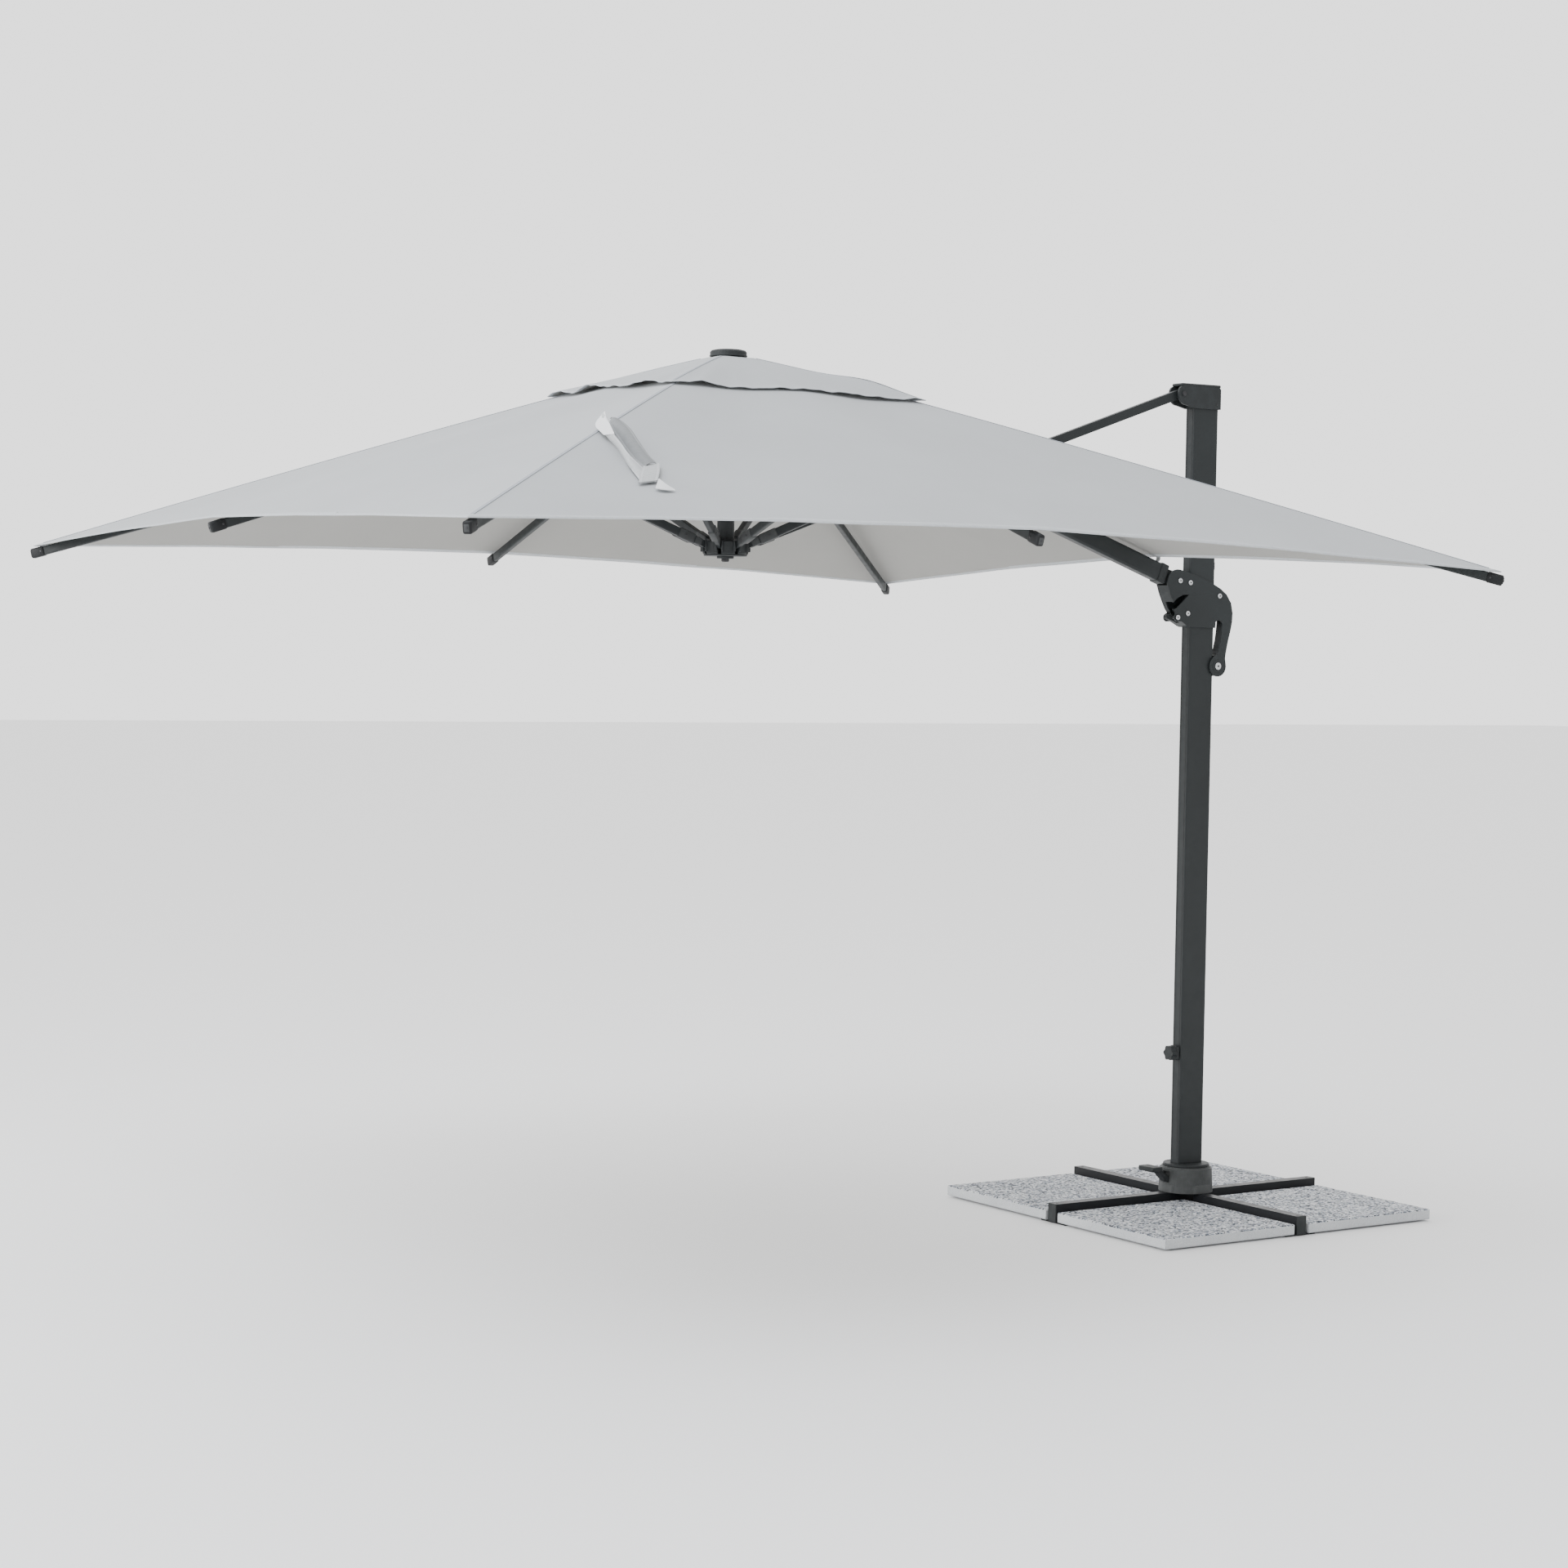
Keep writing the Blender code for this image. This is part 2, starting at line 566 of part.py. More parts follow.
def make_arm(parts, tools):
    along = (E - S).normalized()
    up = Vector((0, 1, 0)).cross(along)
    if up.z < 0:
        up = -up
    turn = frame_at((0, 0, 0), along, up)
    tube_start = 0.078
    tube_end = ARM_LENGTH - 0.100
    arm = tube_along("arm", S + along * tube_start, S + along * tube_end, (0, 1, 0),
                     ARM_WIDTH, ARM_HEIGHT, ARM_WALL, 0.007, parts)
    slot_start = ARM_LENGTH / 2 - 0.066
    slot_length = ARM_LENGTH - slot_start
    slot = block("arm_slot", (slot_length, 0.030, ROD_SLOT), (0, 0, 0), tools)
    slot.data.transform(Matrix.Translation(S + along * (slot_start + slot_length / 2) + up * 0.028) @ turn)
    pin_bore = rod_shape("arm_pin_bore", BORE, 0.08, M, (0, 1, 0), tools, 20)
    lug_at = S + along * (ARM_LENGTH - ARM_STRUT_AT) - up * (ARM_HEIGHT / 2 + 0.013)
    lug_line = arc((0, 0), 0.008, 180, 360, 6) + [(0.008, 0.0140), (-0.008, 0.0140)]
    join(arm, prism("arm_strut_lug", [lug_line], 0.006, frame_at(lug_at, along, up), tools))
    cut(arm, slot, pin_bore)
    dress(arm, "frame")

    pin = rod_shape("arm_pin", PIN, ARM_WIDTH + 0.006, M, (0, 1, 0), parts, 20, 0.001)
    dress(pin, "steel")

    foot_lug = arc((0, 0), 0.0200, 90, 270, 8) + [(0.052, -0.0200), (0.052, 0.0200)]
    foot = prism("arm_foot", [foot_lug], 0.030, frame_at(S, along, up), parts)
    collar = block("foot_collar", (0.030, 0.060, 0.042), (0, 0, 0), tools, bevel=0.003)
    collar.data.transform(Matrix.Translation(S + along * (tube_start - 0.015 - GAP)) @ turn)
    join(foot, collar)
    cut(foot, rod_shape("foot_bore", BORE, 0.08, S, (0, 1, 0), tools, 20))
    dress(foot, "plastic")

    reach = ARM_LENGTH - tube_end
    head_lug = arc((0, 0), 0.0140, 90, 270, 8) + [(reach + 0.020, -0.0140), (reach + 0.020, 0.0140)]
    head = prism("arm_head", [head_lug], 0.016, frame_at(E, -along, up), parts)
    lining = 2 * ARM_WALL + 2 * GAP
    plug = block("head_plug", (0.018, ARM_HEIGHT - lining, ARM_WIDTH - lining), (0, 0, 0), tools,
                 bevel=0.005)
    plug.data.transform(Matrix.Translation(S + along * (tube_end - 0.012)) @ turn)
    join(head, plug)
    cut(head, rod_shape("head_bore", BORE, 0.08, E, (0, 1, 0), tools, 20))
    dress(head, "plastic")

    return lug_at


# ---------------------------------------------------------------- canopy frame

def outward(angle):
    return Vector((math.cos(angle), math.sin(angle), 0))


RIBS = {"far_mast": 45, "far_mid": 90, "far_out": 135, "out_mid": 180, "near_out": 225, "near_mid": 270,
        "near_mast": 315}


def in_hub(radius, height, angle):
    """A point at a distance from the hub's axis, at an absolute height."""
    return Vector((HUB_X, 0, height)) + outward(angle) * radius


def edge_over(degrees):
    """Radius and height of the canopy's edge over a rib or over the arm."""
    corner = degrees % 90 != 0
    radius = HALF * math.sqrt(2) if corner else MID_OUT
    height = CORNER_Z if corner else MID_Z
    if degrees % 360 == 0:
        height = MAST_SIDE_Z
    return radius, height - LEAN * radius * math.cos(math.radians(degrees))


def rib_line(degrees):
    """Hinge and tip of a rib's centre line, as (radius, height) pairs."""
    radius, height = edge_over(degrees)
    setback = 0.024 if degrees % 90 == 0 else 0.020
    return (HINGE_R, RIB_HINGE_Z), (radius - setback, height - RIB_DROP)


def strut_reach(degrees):
    """Distance from the rib's hinge to its strut's hinge, in the line between them.

    The runner drops by the same amount for every rib: the outer middle rib and its strut are equally
    long, and every other pair has the same total length, so all of them hang straight when closed.
    """
    drop = RIB_HINGE_Z - RUNNER_HINGE_Z
    total = drop / math.sin(line_slope(180))
    return (total ** 2 - drop ** 2) / (2 * (total - drop * math.sin(line_slope(degrees))))


def line_slope(degrees):
    """Downward slope of the line from a rib's hinge to its strut hinge, at rest."""
    (r0, z0), (r1, z1) = rib_line(degrees)
    return math.atan2(z0 - z1, r1 - r0) + math.asin(LUG_DROP / LUG_REACH)


def strut_hinge(degrees):
    slope = line_slope(degrees)
    reach = strut_reach(degrees)
    return HINGE_R + reach * math.cos(slope), RIB_HINGE_Z - reach * math.sin(slope)


def make_rib(word, degrees, parts, tools):
    angle = math.radians(degrees)
    (r0, z0), (r1, z1) = rib_line(degrees)
    hinge = in_hub(r0, z0, angle)
    tip = in_hub(r1, z1, angle)
    along = (tip - hinge).normalized()
    side = Vector((0, 0, 1)).cross(outward(angle))
    up = along.cross(side)
    if up.z < 0:
        up = -up
    start = 0.036
    rib = tube_along("rib_" + word, hinge + along * start, tip, side,
                     RIB_WIDTH, RIB_HEIGHT, TUBE_WALL, TUBE_ROUND, parts)
    lug_r, lug_z = strut_hinge(degrees)
    lug_at = in_hub(lug_r, lug_z, angle)
    tongue_line = arc((0, 0), 0.009, 90, 270, 6) + [(start + 0.030, -0.009), (start + 0.030, 0.009)]
    tongue = prism("tongue_" + word, [tongue_line], TONGUE, frame_at(hinge, along, up), tools)
    plug = block("plug_" + word, (RIB_HEIGHT - TUBE_WALL, RIB_WIDTH - TUBE_WALL, 0.020), (0, 0, 0), tools,
                 bevel=0.002)
    plug.data.transform(frame_at(hinge + along * (start + 0.0095), up, side))
    rise = LUG_DROP - 0.009
    lug_line = arc((0, 0), 0.008, 180, 360, 6) + [(0.008, rise), (-0.008, rise)]
    lug = prism("lug_" + word, [lug_line], 0.006, frame_at(lug_at, along, up), tools)
    cut(tongue, rod_shape("rib_bore_" + word, 0.003 + GAP, 0.03, hinge, side, tools, 12))
    join(rib, tongue, plug, lug)
    dress(rib, "frame")
    for item in (rib, tongue, plug, lug):
        set_origin(item, hinge)
    return lug_at


def make_strut(word, angle, top, parts, tools):
    """Strut from its hinge under a rib or the arm to the runner."""
    foot = in_hub(HINGE_R, RUNNER_HINGE_Z, angle)
    along = (foot - top).normalized()
    side = Vector((0, 0, 1)).cross(outward(angle))
    up = along.cross(side)
    length = (foot - top).length
    strut = tube_along("strut_" + word, top - along * 0.003, foot - along * 0.045, side,
                       RIB_WIDTH, STRUT_HEIGHT, TUBE_WALL, TUBE_ROUND, parts)
    plug_size = (STRUT_HEIGHT - TUBE_WALL, RIB_WIDTH - TUBE_WALL, 0.020)
    plug = block("foot_plug_" + word, plug_size, (0, 0, 0), tools, bevel=0.002)
    plug.data.transform(frame_at(foot - along * 0.0555, up, side))
    root = length - 0.060
    tongue_line = arc((length, 0), 0.009, -90, 90, 6) + [(root, 0.009), (root, -0.009)]
    tongue = prism("foot_tongue_" + word, [tongue_line], TONGUE, frame_at(top, along, up), tools)
    gap = block("fork_" + word, (STRUT_HEIGHT + 0.02, 0.0066, 0.046), (0, 0, 0), tools)
    gap.data.transform(frame_at(top, up, side))
    join(strut, plug, tongue)
    cut(strut, gap)
    dress(strut, "frame")
    for item in (strut, plug, tongue, gap):
        set_origin(item, top)


def radial_slots(prefix, angles, low, high, inner, width, tools):
    cutters = []
    outer = HUB_R + 0.030
    for degrees in angles:
        angle = math.radians(degrees)
        slot = block(f"{prefix}_{degrees}", (outer - inner, width, high - low), (0, 0, 0), tools)
        centre = in_hub((inner + outer) / 2, (low + high) / 2, angle)
        slot.data.transform(Matrix.Translation(centre) @ Matrix.Rotation(angle, 4, "Z"))
        cutters.append(slot)
    return cutters


def make_hubs(parts, tools):
    low = RIB_HINGE_Z - 0.018
    high = PIVOT_Z - 0.006
    hub = rod_shape("top_hub", HUB_R, high - low, (HUB_X, 0, (low + high) / 2), (0, 0, 1), parts, 40, 0.003)
    crown = rod_shape("hub_crown", 0.030, 0.034, (HUB_X, 0, PIVOT_Z), (0, 0, 1), tools, 24)
    join(hub, crown)
    arm_slot = block("hub_arm_slot", (0.12, 0.0170, 0.14), (HUB_X + 0.043, 0, PIVOT_Z), tools)
    bore = rod_shape("hub_bore", BORE, 0.15, E, (0, 1, 0), tools, 20)
    cut(hub, arm_slot, bore)
    cut(hub, *radial_slots("rib_slot", RIBS.values(), low - 0.01, high - 0.006, 0.040, 0.010, tools))
    dress(hub, "plastic")
    dress(rod_shape("hub_pin", PIN, 0.050, E, (0, 1, 0), parts, 20, 0.001), "steel")

    disc_low = 1.9680
    disc_high = 2.0060
    runner = rod_shape("runner", HUB_R - 0.001, disc_high - disc_low, (HUB_X, 0, (disc_low + disc_high) / 2),
                       (0, 0, 1), parts, 40, 0.003)
    post_top = RIB_HINGE_Z - 0.030
    post = rod_shape("runner_post", 0.024, post_top - disc_high + 0.01,
                     (HUB_X, 0, (post_top + disc_high - 0.01) / 2), (0, 0, 1), tools, 24)
    spigot = rod_shape("runner_spigot", 0.0095, 0.040, (HUB_X, 0, disc_low), (0, 0, 1), tools, 16, 0.001)
    join(runner, post, spigot)
    angles = list(RIBS.values()) + [0]
    cut(runner, *radial_slots("strut_slot", angles, disc_low - 0.01, disc_high + 0.01, 0.034, 0.010, tools))
    hollow = rod_shape("post_hollow", 0.0215, post_top - disc_high + 0.01,
                       (HUB_X, 0, (post_top + disc_high + 0.02) / 2), (0, 0, 1), tools, 24)
    cut(runner, hollow)
    dress(runner, "plastic")


# ---------------------------------------------------------------- cloth

def edge_point(share):
    """Point on the canopy's edge, share 0..1 of a turn starting towards the mast, with its height."""
    eighth = share * 8
    index = int(eighth) % 8
    along = eighth - int(eighth)
    ends = []
    for corner in (index, index + 1):
        radius, height = edge_over(45 * corner)
        ends.append((outward(math.radians(45 * corner)) * radius, height))
    (a, za), (b, zb) = ends
    return a.lerp(b, along), za + (zb - za) * along


def cloth_solid(name, inner, outer, lift_in, lift_out, rings, parts):
    """A thin closed skin between two shares of the canopy's spread."""
    sides = 32
    bm = bmesh.new()
    bmesh.ops.create_cone(bm, cap_ends=False, segments=sides, radius1=1, radius2=0.5, depth=0)
    bmesh.ops.subdivide_edges(bm, edges=[e for e in bm.edges if abs(
        e.verts[0].co.length - e.verts[1].co.length) > 0.1], cuts=rings - 1)
    for vert in bm.verts:
        share = (math.atan2(vert.co.y, vert.co.x) / (2 * math.pi)) % 1.0
        share = round(share * sides) / sides % 1.0
        spread = (1 - vert.co.length) * 2
        spread = outer + (inner - outer) * spread
        edge, edge_z = edge_point(share)
        lift = lift_in + (lift_out - lift_in) * (spread - inner) / (outer - inner)
        height = APEX_Z - (APEX_Z - edge_z) * (max(spread - CROWN, 0) / (1 - CROWN)) ** BOW
        vert.co = Vector((HUB_X + edge.x * spread, edge.y * spread, height + lift))
    skin = mesh_from(name, bm, parts)
    solid = skin.modifiers.new("thickness", "SOLIDIFY")
    solid.thickness = CLOTH
    solid.offset = -1
    return skin


def make_cloth(parts, tools):
    cover = cloth_solid("canopy_cover", OPENING, 1.0, 0, 0, 6, parts)
    slit = block("rod_slit", (0.150, 0.032, 0.2), (M.x + 0.030, 0, M.z + 0.02), tools)
    cut(cover, slit)
    dress(cover, "cloth")
    flap = cloth_solid("vent_flap", 0.030, FLAP, 0.004, 0.010, 3, parts)
    dress(flap, "cloth")

    finial = rod_shape("finial_cap", 0.0515, 0.018, (HUB_X, 0, 2.5275), (0, 0, 1), parts, 36, 0.004)
    cut(finial, rod_shape("finial_hollow", 0.044, 0.030, (HUB_X, 0, 2.5160), (0, 0, 1), tools, 24))
    dress(finial, "plastic")


def make_strap(parts):
    """Tying strap, rooted on the near outer ridge and hanging over the near panel."""
    curve = bpy.data.curves.new("tie_strap", "CURVE")
    curve.dimensions = "3D"
    route = [(-2.372, -0.668, 2.298), (-2.430, -0.790, 2.263), (-2.498, -0.900, 2.223),
             (-2.538, -1.020, 2.179), (-2.545, -1.130, 2.138), (-2.527, -1.240, 2.098)]
    spline = curve.splines.new("POLY")
    spline.points.add(len(route) - 1)
    for point, at in zip(spline.points, route):
        point.co = (*at, 1)
    curve.bevel_mode = "ROUND"
    curve.bevel_depth = 0.006
    curve.bevel_resolution = 1
    curve.use_fill_caps = True
    strap = bpy.data.objects.new("tie_strap", curve)
    parts.objects.link(strap)
    dress(strap, "cloth")


# ---------------------------------------------------------------- everything

def main():
    clear_scene()
    parts = new_collection("cantilever_parasol")
    tools = new_collection("cutters")
    tools.hide_render = True
    make_base(parts, tools)
    make_pedal(parts, tools)
    make_mast(parts, tools)
    make_slider(parts, tools)
    make_rod(parts)
    arm_lug = make_arm(parts, tools)
    make_strut("mast_side", 0.0, arm_lug, parts, tools)
    for word, degrees in RIBS.items():
        lug = make_rib(word, degrees, parts, tools)
        make_strut(word, math.radians(degrees), lug, parts, tools)
    make_hubs(parts, tools)
    make_cloth(parts, tools)
    make_strap(parts)


main()
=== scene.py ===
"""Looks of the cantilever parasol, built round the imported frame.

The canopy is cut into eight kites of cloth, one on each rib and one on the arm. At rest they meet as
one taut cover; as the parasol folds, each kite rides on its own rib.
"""
import json
import math

import bmesh
import bpy
from mathutils import Matrix, Vector

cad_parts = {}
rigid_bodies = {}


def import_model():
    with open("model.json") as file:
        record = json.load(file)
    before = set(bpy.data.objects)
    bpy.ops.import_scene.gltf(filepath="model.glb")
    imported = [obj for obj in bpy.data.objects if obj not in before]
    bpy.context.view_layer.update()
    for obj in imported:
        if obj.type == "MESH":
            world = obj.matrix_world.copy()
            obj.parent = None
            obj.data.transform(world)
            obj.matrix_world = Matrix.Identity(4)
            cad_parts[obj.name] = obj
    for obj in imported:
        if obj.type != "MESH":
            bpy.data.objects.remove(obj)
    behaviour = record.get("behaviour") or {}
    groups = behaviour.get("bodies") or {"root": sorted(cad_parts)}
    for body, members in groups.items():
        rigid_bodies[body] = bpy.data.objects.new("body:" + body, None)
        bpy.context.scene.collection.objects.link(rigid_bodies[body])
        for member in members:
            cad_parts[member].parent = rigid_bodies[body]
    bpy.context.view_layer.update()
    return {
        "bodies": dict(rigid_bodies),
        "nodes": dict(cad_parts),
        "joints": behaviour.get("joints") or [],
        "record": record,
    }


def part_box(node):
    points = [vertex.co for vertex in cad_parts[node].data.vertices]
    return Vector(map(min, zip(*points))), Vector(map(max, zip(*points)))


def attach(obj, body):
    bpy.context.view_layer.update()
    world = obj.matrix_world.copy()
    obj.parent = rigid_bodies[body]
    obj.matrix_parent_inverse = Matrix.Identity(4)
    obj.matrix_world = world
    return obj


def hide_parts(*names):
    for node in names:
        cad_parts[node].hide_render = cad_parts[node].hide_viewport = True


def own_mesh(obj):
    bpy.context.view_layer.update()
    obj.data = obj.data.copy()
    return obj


UP = Vector((0, 0, 1))

# Canopy, as in the CAD
HUB_X = -1.674
HUB = Vector((HUB_X, 0, 0))
HALF = 1.500
MID_OUT = 1.512
APEX_Z = 2.512
CORNER_Z = 1.959
MID_Z = 2.001
MAST_SIDE_Z = 2.027
LEAN = 0.012                  # fall of the canopy's edge towards the mast
CROWN = 0.033                 # share of the canopy under the finial
BOW = 1.06
OPENING = 0.100
FLAP = 0.258
CLOTH = 0.0012
EAVE_PULL = 0.011             # how far the eaves draw in between two ribs
PANEL_SAG = 0.012
HEM = 0.020
SLIT = (0.4934, 0.5926)       # spread of the slit that the tie rod passes through
SLIT_HALF = 0.016

# Ribs and struts
HINGE_R = 0.058
RIB_HINGE_Z = 2.470
RUNNER_HINGE_Z = 1.992
RIB_DROP = 0.018
LUG_DROP = 0.029
LUG_REACH = 0.660
RIB_WIDTH = 0.016
RIB_HEIGHT = 0.026
STRUT_HEIGHT = 0.024
WORDS = {0: "mast_side", 1: "far_mast", 2: "far_mid", 3: "far_out", 4: "out_mid",
         5: "near_out", 6: "near_mid", 7: "near_mast"}

# Arm: from the slider's pivot to the hub's pivot
SLIDER_PIVOT = Vector((-0.092, 0, 1.936))
HUB_PIVOT = Vector((HUB_X, 0, 2.504))
MAST_PIVOT = Vector((-0.092, 0, 2.504))
ARM_STRUT_AT = 0.7284         # the strut's lug on the arm, from the hub's pivot
ARM_HALF = 0.028
STOP_Z = 1.985

# Base
BASE_TURN = math.radians(2.7)
BAR_HALF = 0.520
HOUSING_LOW_R = 0.0835
HOUSING_TOP_R = 0.0795

SOFT_EDGES = {"slab_front": 0.0030, "slab_right": 0.0030, "slab_back": 0.0030, "slab_left": 0.0030,
              "mast_cap": 0.0016, "slider_cheek_near": 0.0010, "slider_cheek_far": 0.0010,
              "cross_bar_long": 0.0008, "cross_bar_short_front": 0.0008, "cross_bar_short_back": 0.0008,
              "foot_pedal": 0.0012, "tie_rod": 0.0012}

# Strap: (x, y, height off the cover) along the two long edges of each part
STRAP_ROWS = {
    "leg_a": (
        ((-2.465, -0.780, 0.030), (-2.500, -0.805, 0.010), (-2.535, -0.915, 0.008),
         (-2.555, -1.015, 0.008), (-2.585, -1.120, 0.006), (-2.615, -1.240, 0.004)),
        ((-2.500, -0.840, 0.034), (-2.515, -0.880, 0.030), (-2.550, -0.970, 0.034),
         (-2.570, -1.050, 0.034), (-2.575, -1.105, 0.024), (-2.565, -1.160, 0.010))),
    "leg_b": (
        ((-2.515, -0.880, 0.030), (-2.525, -0.930, 0.020), (-2.535, -0.995, 0.012),
         (-2.555, -1.085, 0.008), (-2.565, -1.155, 0.006)),
        ((-2.490, -0.840, 0.030), (-2.480, -0.860, 0.036), (-2.485, -0.930, 0.036),
         (-2.500, -1.010, 0.028), (-2.510, -1.080, 0.018), (-2.505, -1.120, 0.008))),
    "patch": (
        ((-2.560, -1.150, 0.010), (-2.600, -1.210, 0.010), (-2.635, -1.270, 0.008)),
        ((-2.500, -1.120, 0.010), (-2.535, -1.185, 0.011), (-2.575, -1.250, 0.008))),
    "point": (
        ((-2.570, -1.245, 0.012), (-2.570, -1.285, 0.010), (-2.560, -1.305, 0.006)),
        ((-2.610, -1.305, 0.008), (-2.595, -1.315, 0.008), (-2.560, -1.310, 0.004))),
    "root": (
        ((-2.470, -0.795, 0.034), (-2.515, -0.830, 0.014), (-2.545, -0.920, 0.012)),
        ((-2.510, -0.855, 0.036), (-2.520, -0.895, 0.033), (-2.555, -0.985, 0.036))),
}

# Light
WORLD_LIGHT = 2.05            # towards the backdrop, the canopy's outer side and the sky
WORLD_DIM = 0.46              # share of it from behind the camera
KEY_LIGHT = 430
SIDE_LIGHT = 240


# ---------------------------------------------------------------- materials

def new_material(name, colour, roughness, metallic=0.0):
    mat = bpy.data.materials.new(name)
    mat.use_nodes = True
    shader = mat.node_tree.nodes["Principled BSDF"]
    shader.inputs["Base Color"].default_value = (*colour, 1)
    shader.inputs["Roughness"].default_value = roughness
    shader.inputs["Metallic"].default_value = metallic
    return mat


def add(mat, kind, **values):
    """A node with its settings and the values of its sockets, named with _ for spaces."""
    node = mat.node_tree.nodes.new("ShaderNode" + kind)
    for key, value in values.items():
        if hasattr(node, key):
            setattr(node, key, value)
        else:
            node.inputs[key.replace("_", " ")].default_value = value
    return node


def wire(mat, *pairs):
    for source, target in pairs:
        mat.node_tree.links.new(source, target)


def place(mat, coords="Object"):
    return add(mat, "TexCoord").outputs[coords]


def noise(mat, scale, detail=3.0, rough=0.5, coords="Object"):
    node = add(mat, "TexNoise", Scale=scale, Detail=detail, Roughness=rough)
    wire(mat, (place(mat, coords), node.inputs["Vector"]))
    return node.outputs["Fac"]


def ramp(mat, factor, stops):
    """Colour ramp from (position, colour) stops; a colour may be one grey number."""
    node = add(mat, "ValToRGB")
    elements = node.color_ramp.elements
    while len(elements) < len(stops):
        elements.new(0.5)
    for element, (at, colour) in zip(elements, stops):
        element.position = at
        element.color = (*colour, 1) if isinstance(colour, tuple) else (colour, colour, colour, 1)
    wire(mat, (factor, node.inputs["Fac"]))
    return node.outputs["Color"]


def tinted(mat, factor, colour, low, high):
    """Ramp between two (position, share of the colour) stops."""
    return ramp(mat, factor, [(at, tuple(c * share for c in colour)) for at, share in (low, high)])


def bump(mat, height, strength, distance, after=None):
    node = add(mat, "Bump", Strength=strength, Distance=distance)
    wire(mat, (height, node.inputs["Height"]))
    if after:
        wire(mat, (after, node.inputs["Normal"]))
    return node.outputs["Normal"]


def shader_of(mat):
    return mat.node_tree.nodes["Principled BSDF"]


def powder_coat(name, colour, roughness=0.46):
    """Powder-coated aluminium: an even satin coat with a fine orange peel and slight tone changes."""
    mat = new_material(name, colour, roughness)
    shader = shader_of(mat)
    shader.inputs["Specular IOR Level"].default_value = 0.26
    tone = tinted(mat, noise(mat, 5.0, 4.0), colour, (0.30, 0.90), (0.70, 1.10))
    rough = ramp(mat, noise(mat, 38.0, 3.0), [(0.30, roughness - 0.05), (0.70, roughness + 0.07)])
    peel = bump(mat, noise(mat, 900.0, 2.0), 0.16, 0.0003)
    wire(mat, (tone, shader.inputs["Base Color"]), (rough, shader.inputs["Roughness"]),
         (bump(mat, noise(mat, 60.0, 2.0), 0.05, 0.0008, peel), shader.inputs["Normal"]))
    return mat


def moulded(name, colour, roughness=0.55):
    """Moulded plastic: a fine leather grain with faint scuffs."""
    mat = new_material(name, colour, roughness)
    shader = shader_of(mat)
    shader.inputs["Specular IOR Level"].default_value = 0.24
    grain = add(mat, "TexVoronoi", Scale=1100.0)
    wire(mat, (place(mat), grain.inputs["Vector"]))
    scuff = tinted(mat, noise(mat, 22.0, 6.0, 0.7), colour, (0.40, 0.90), (0.66, 1.16))
    rough = ramp(mat, noise(mat, 30.0, 4.0), [(0.35, roughness - 0.06), (0.70, roughness + 0.08)])
    wire(mat, (scuff, shader.inputs["Base Color"]), (rough, shader.inputs["Roughness"]),
         (bump(mat, grain.outputs["Distance"], 0.18, 0.0003), shader.inputs["Normal"]))
    return mat


def bare_metal(name, colour, roughness):
    mat = new_material(name, colour, roughness, 0.9)
    shader = shader_of(mat)
    rough = ramp(mat, noise(mat, 260.0, 4.0), [(0.3, roughness - 0.08), (0.7, roughness + 0.12)])
    wire(mat, (rough, shader.inputs["Roughness"]),
         (bump(mat, noise(mat, 420.0, 3.0), 0.12, 0.0003), shader.inputs["Normal"]))
    return mat


def granite(name):
    """Granite slab: a rough speckled top of pale feldspar, quartz and dark mica, and sawn sides."""
    mat = new_material(name, (0.36, 0.38, 0.40), 0.82)
    shader = shader_of(mat)
    at = place(mat)
    warp = add(mat, "TexNoise", Scale=240.0, Detail=2.0)
    wire(mat, (at, warp.inputs["Vector"]))
    shifted = add(mat, "VectorMath", operation="MULTIPLY_ADD")
    shifted.inputs[1].default_value = (0.004, 0.004, 0.004)
    wire(mat, (warp.outputs["Color"], shifted.inputs[0]), (at, shifted.inputs[2]))
    cells = add(mat, "TexVoronoi", Scale=165.0)
    wire(mat, (shifted.outputs["Vector"], cells.inputs["Vector"]))
    grains = add(mat, "SeparateColor")
    wire(mat, (cells.outputs["Color"], grains.inputs["Color"]))
    stone = ramp(mat, grains.outputs["Red"], [
        (0.00, (0.030, 0.036, 0.048)), (0.15, (0.110, 0.130, 0.165)), (0.30, (0.290, 0.320, 0.370)),
        (0.50, (0.560, 0.585, 0.620)), (0.72, (0.740, 0.750, 0.765)), (1.00, (0.900, 0.900, 0.900))])
    stone.node.color_ramp.interpolation = "CONSTANT"
    fine = ramp(mat, noise(mat, 700.0, 5.0, 0.7), [(0.36, 0.62), (0.62, 1.18)])
    broad = ramp(mat, noise(mat, 9.0, 3.0), [(0.30, (0.93, 0.93, 0.94)), (0.70, (1.06, 1.06, 1.05))])
    speckled = multiply(mat, multiply(mat, stone, fine), broad)
    saw_marks = ramp(mat, noise(mat, 330.0, 6.0, 0.75),
                     [(0.34, (0.44, 0.46, 0.48)), (0.66, (0.66, 0.68, 0.69))])
    sawn = multiply(mat, saw_marks, broad)
    facing = add(mat, "SeparateXYZ")
    wire(mat, (place(mat, "Normal"), facing.inputs["Vector"]))
    is_top = ramp(mat, facing.outputs["Z"], [(0.45, 0.0), (0.60, 1.0)])
    blend = add(mat, "MixRGB")
    wire(mat, (is_top, blend.inputs["Fac"]), (sawn, blend.inputs["Color1"]),
         (speckled, blend.inputs["Color2"]), (blend.outputs["Color"], shader.inputs["Base Color"]))
    pits = bump(mat, noise(mat, 190.0, 5.0, 0.65), 0.55, 0.0020)
    wire(mat, (bump(mat, grains.outputs["Red"], 0.20, 0.0010, pits), shader.inputs["Normal"]))
    return mat


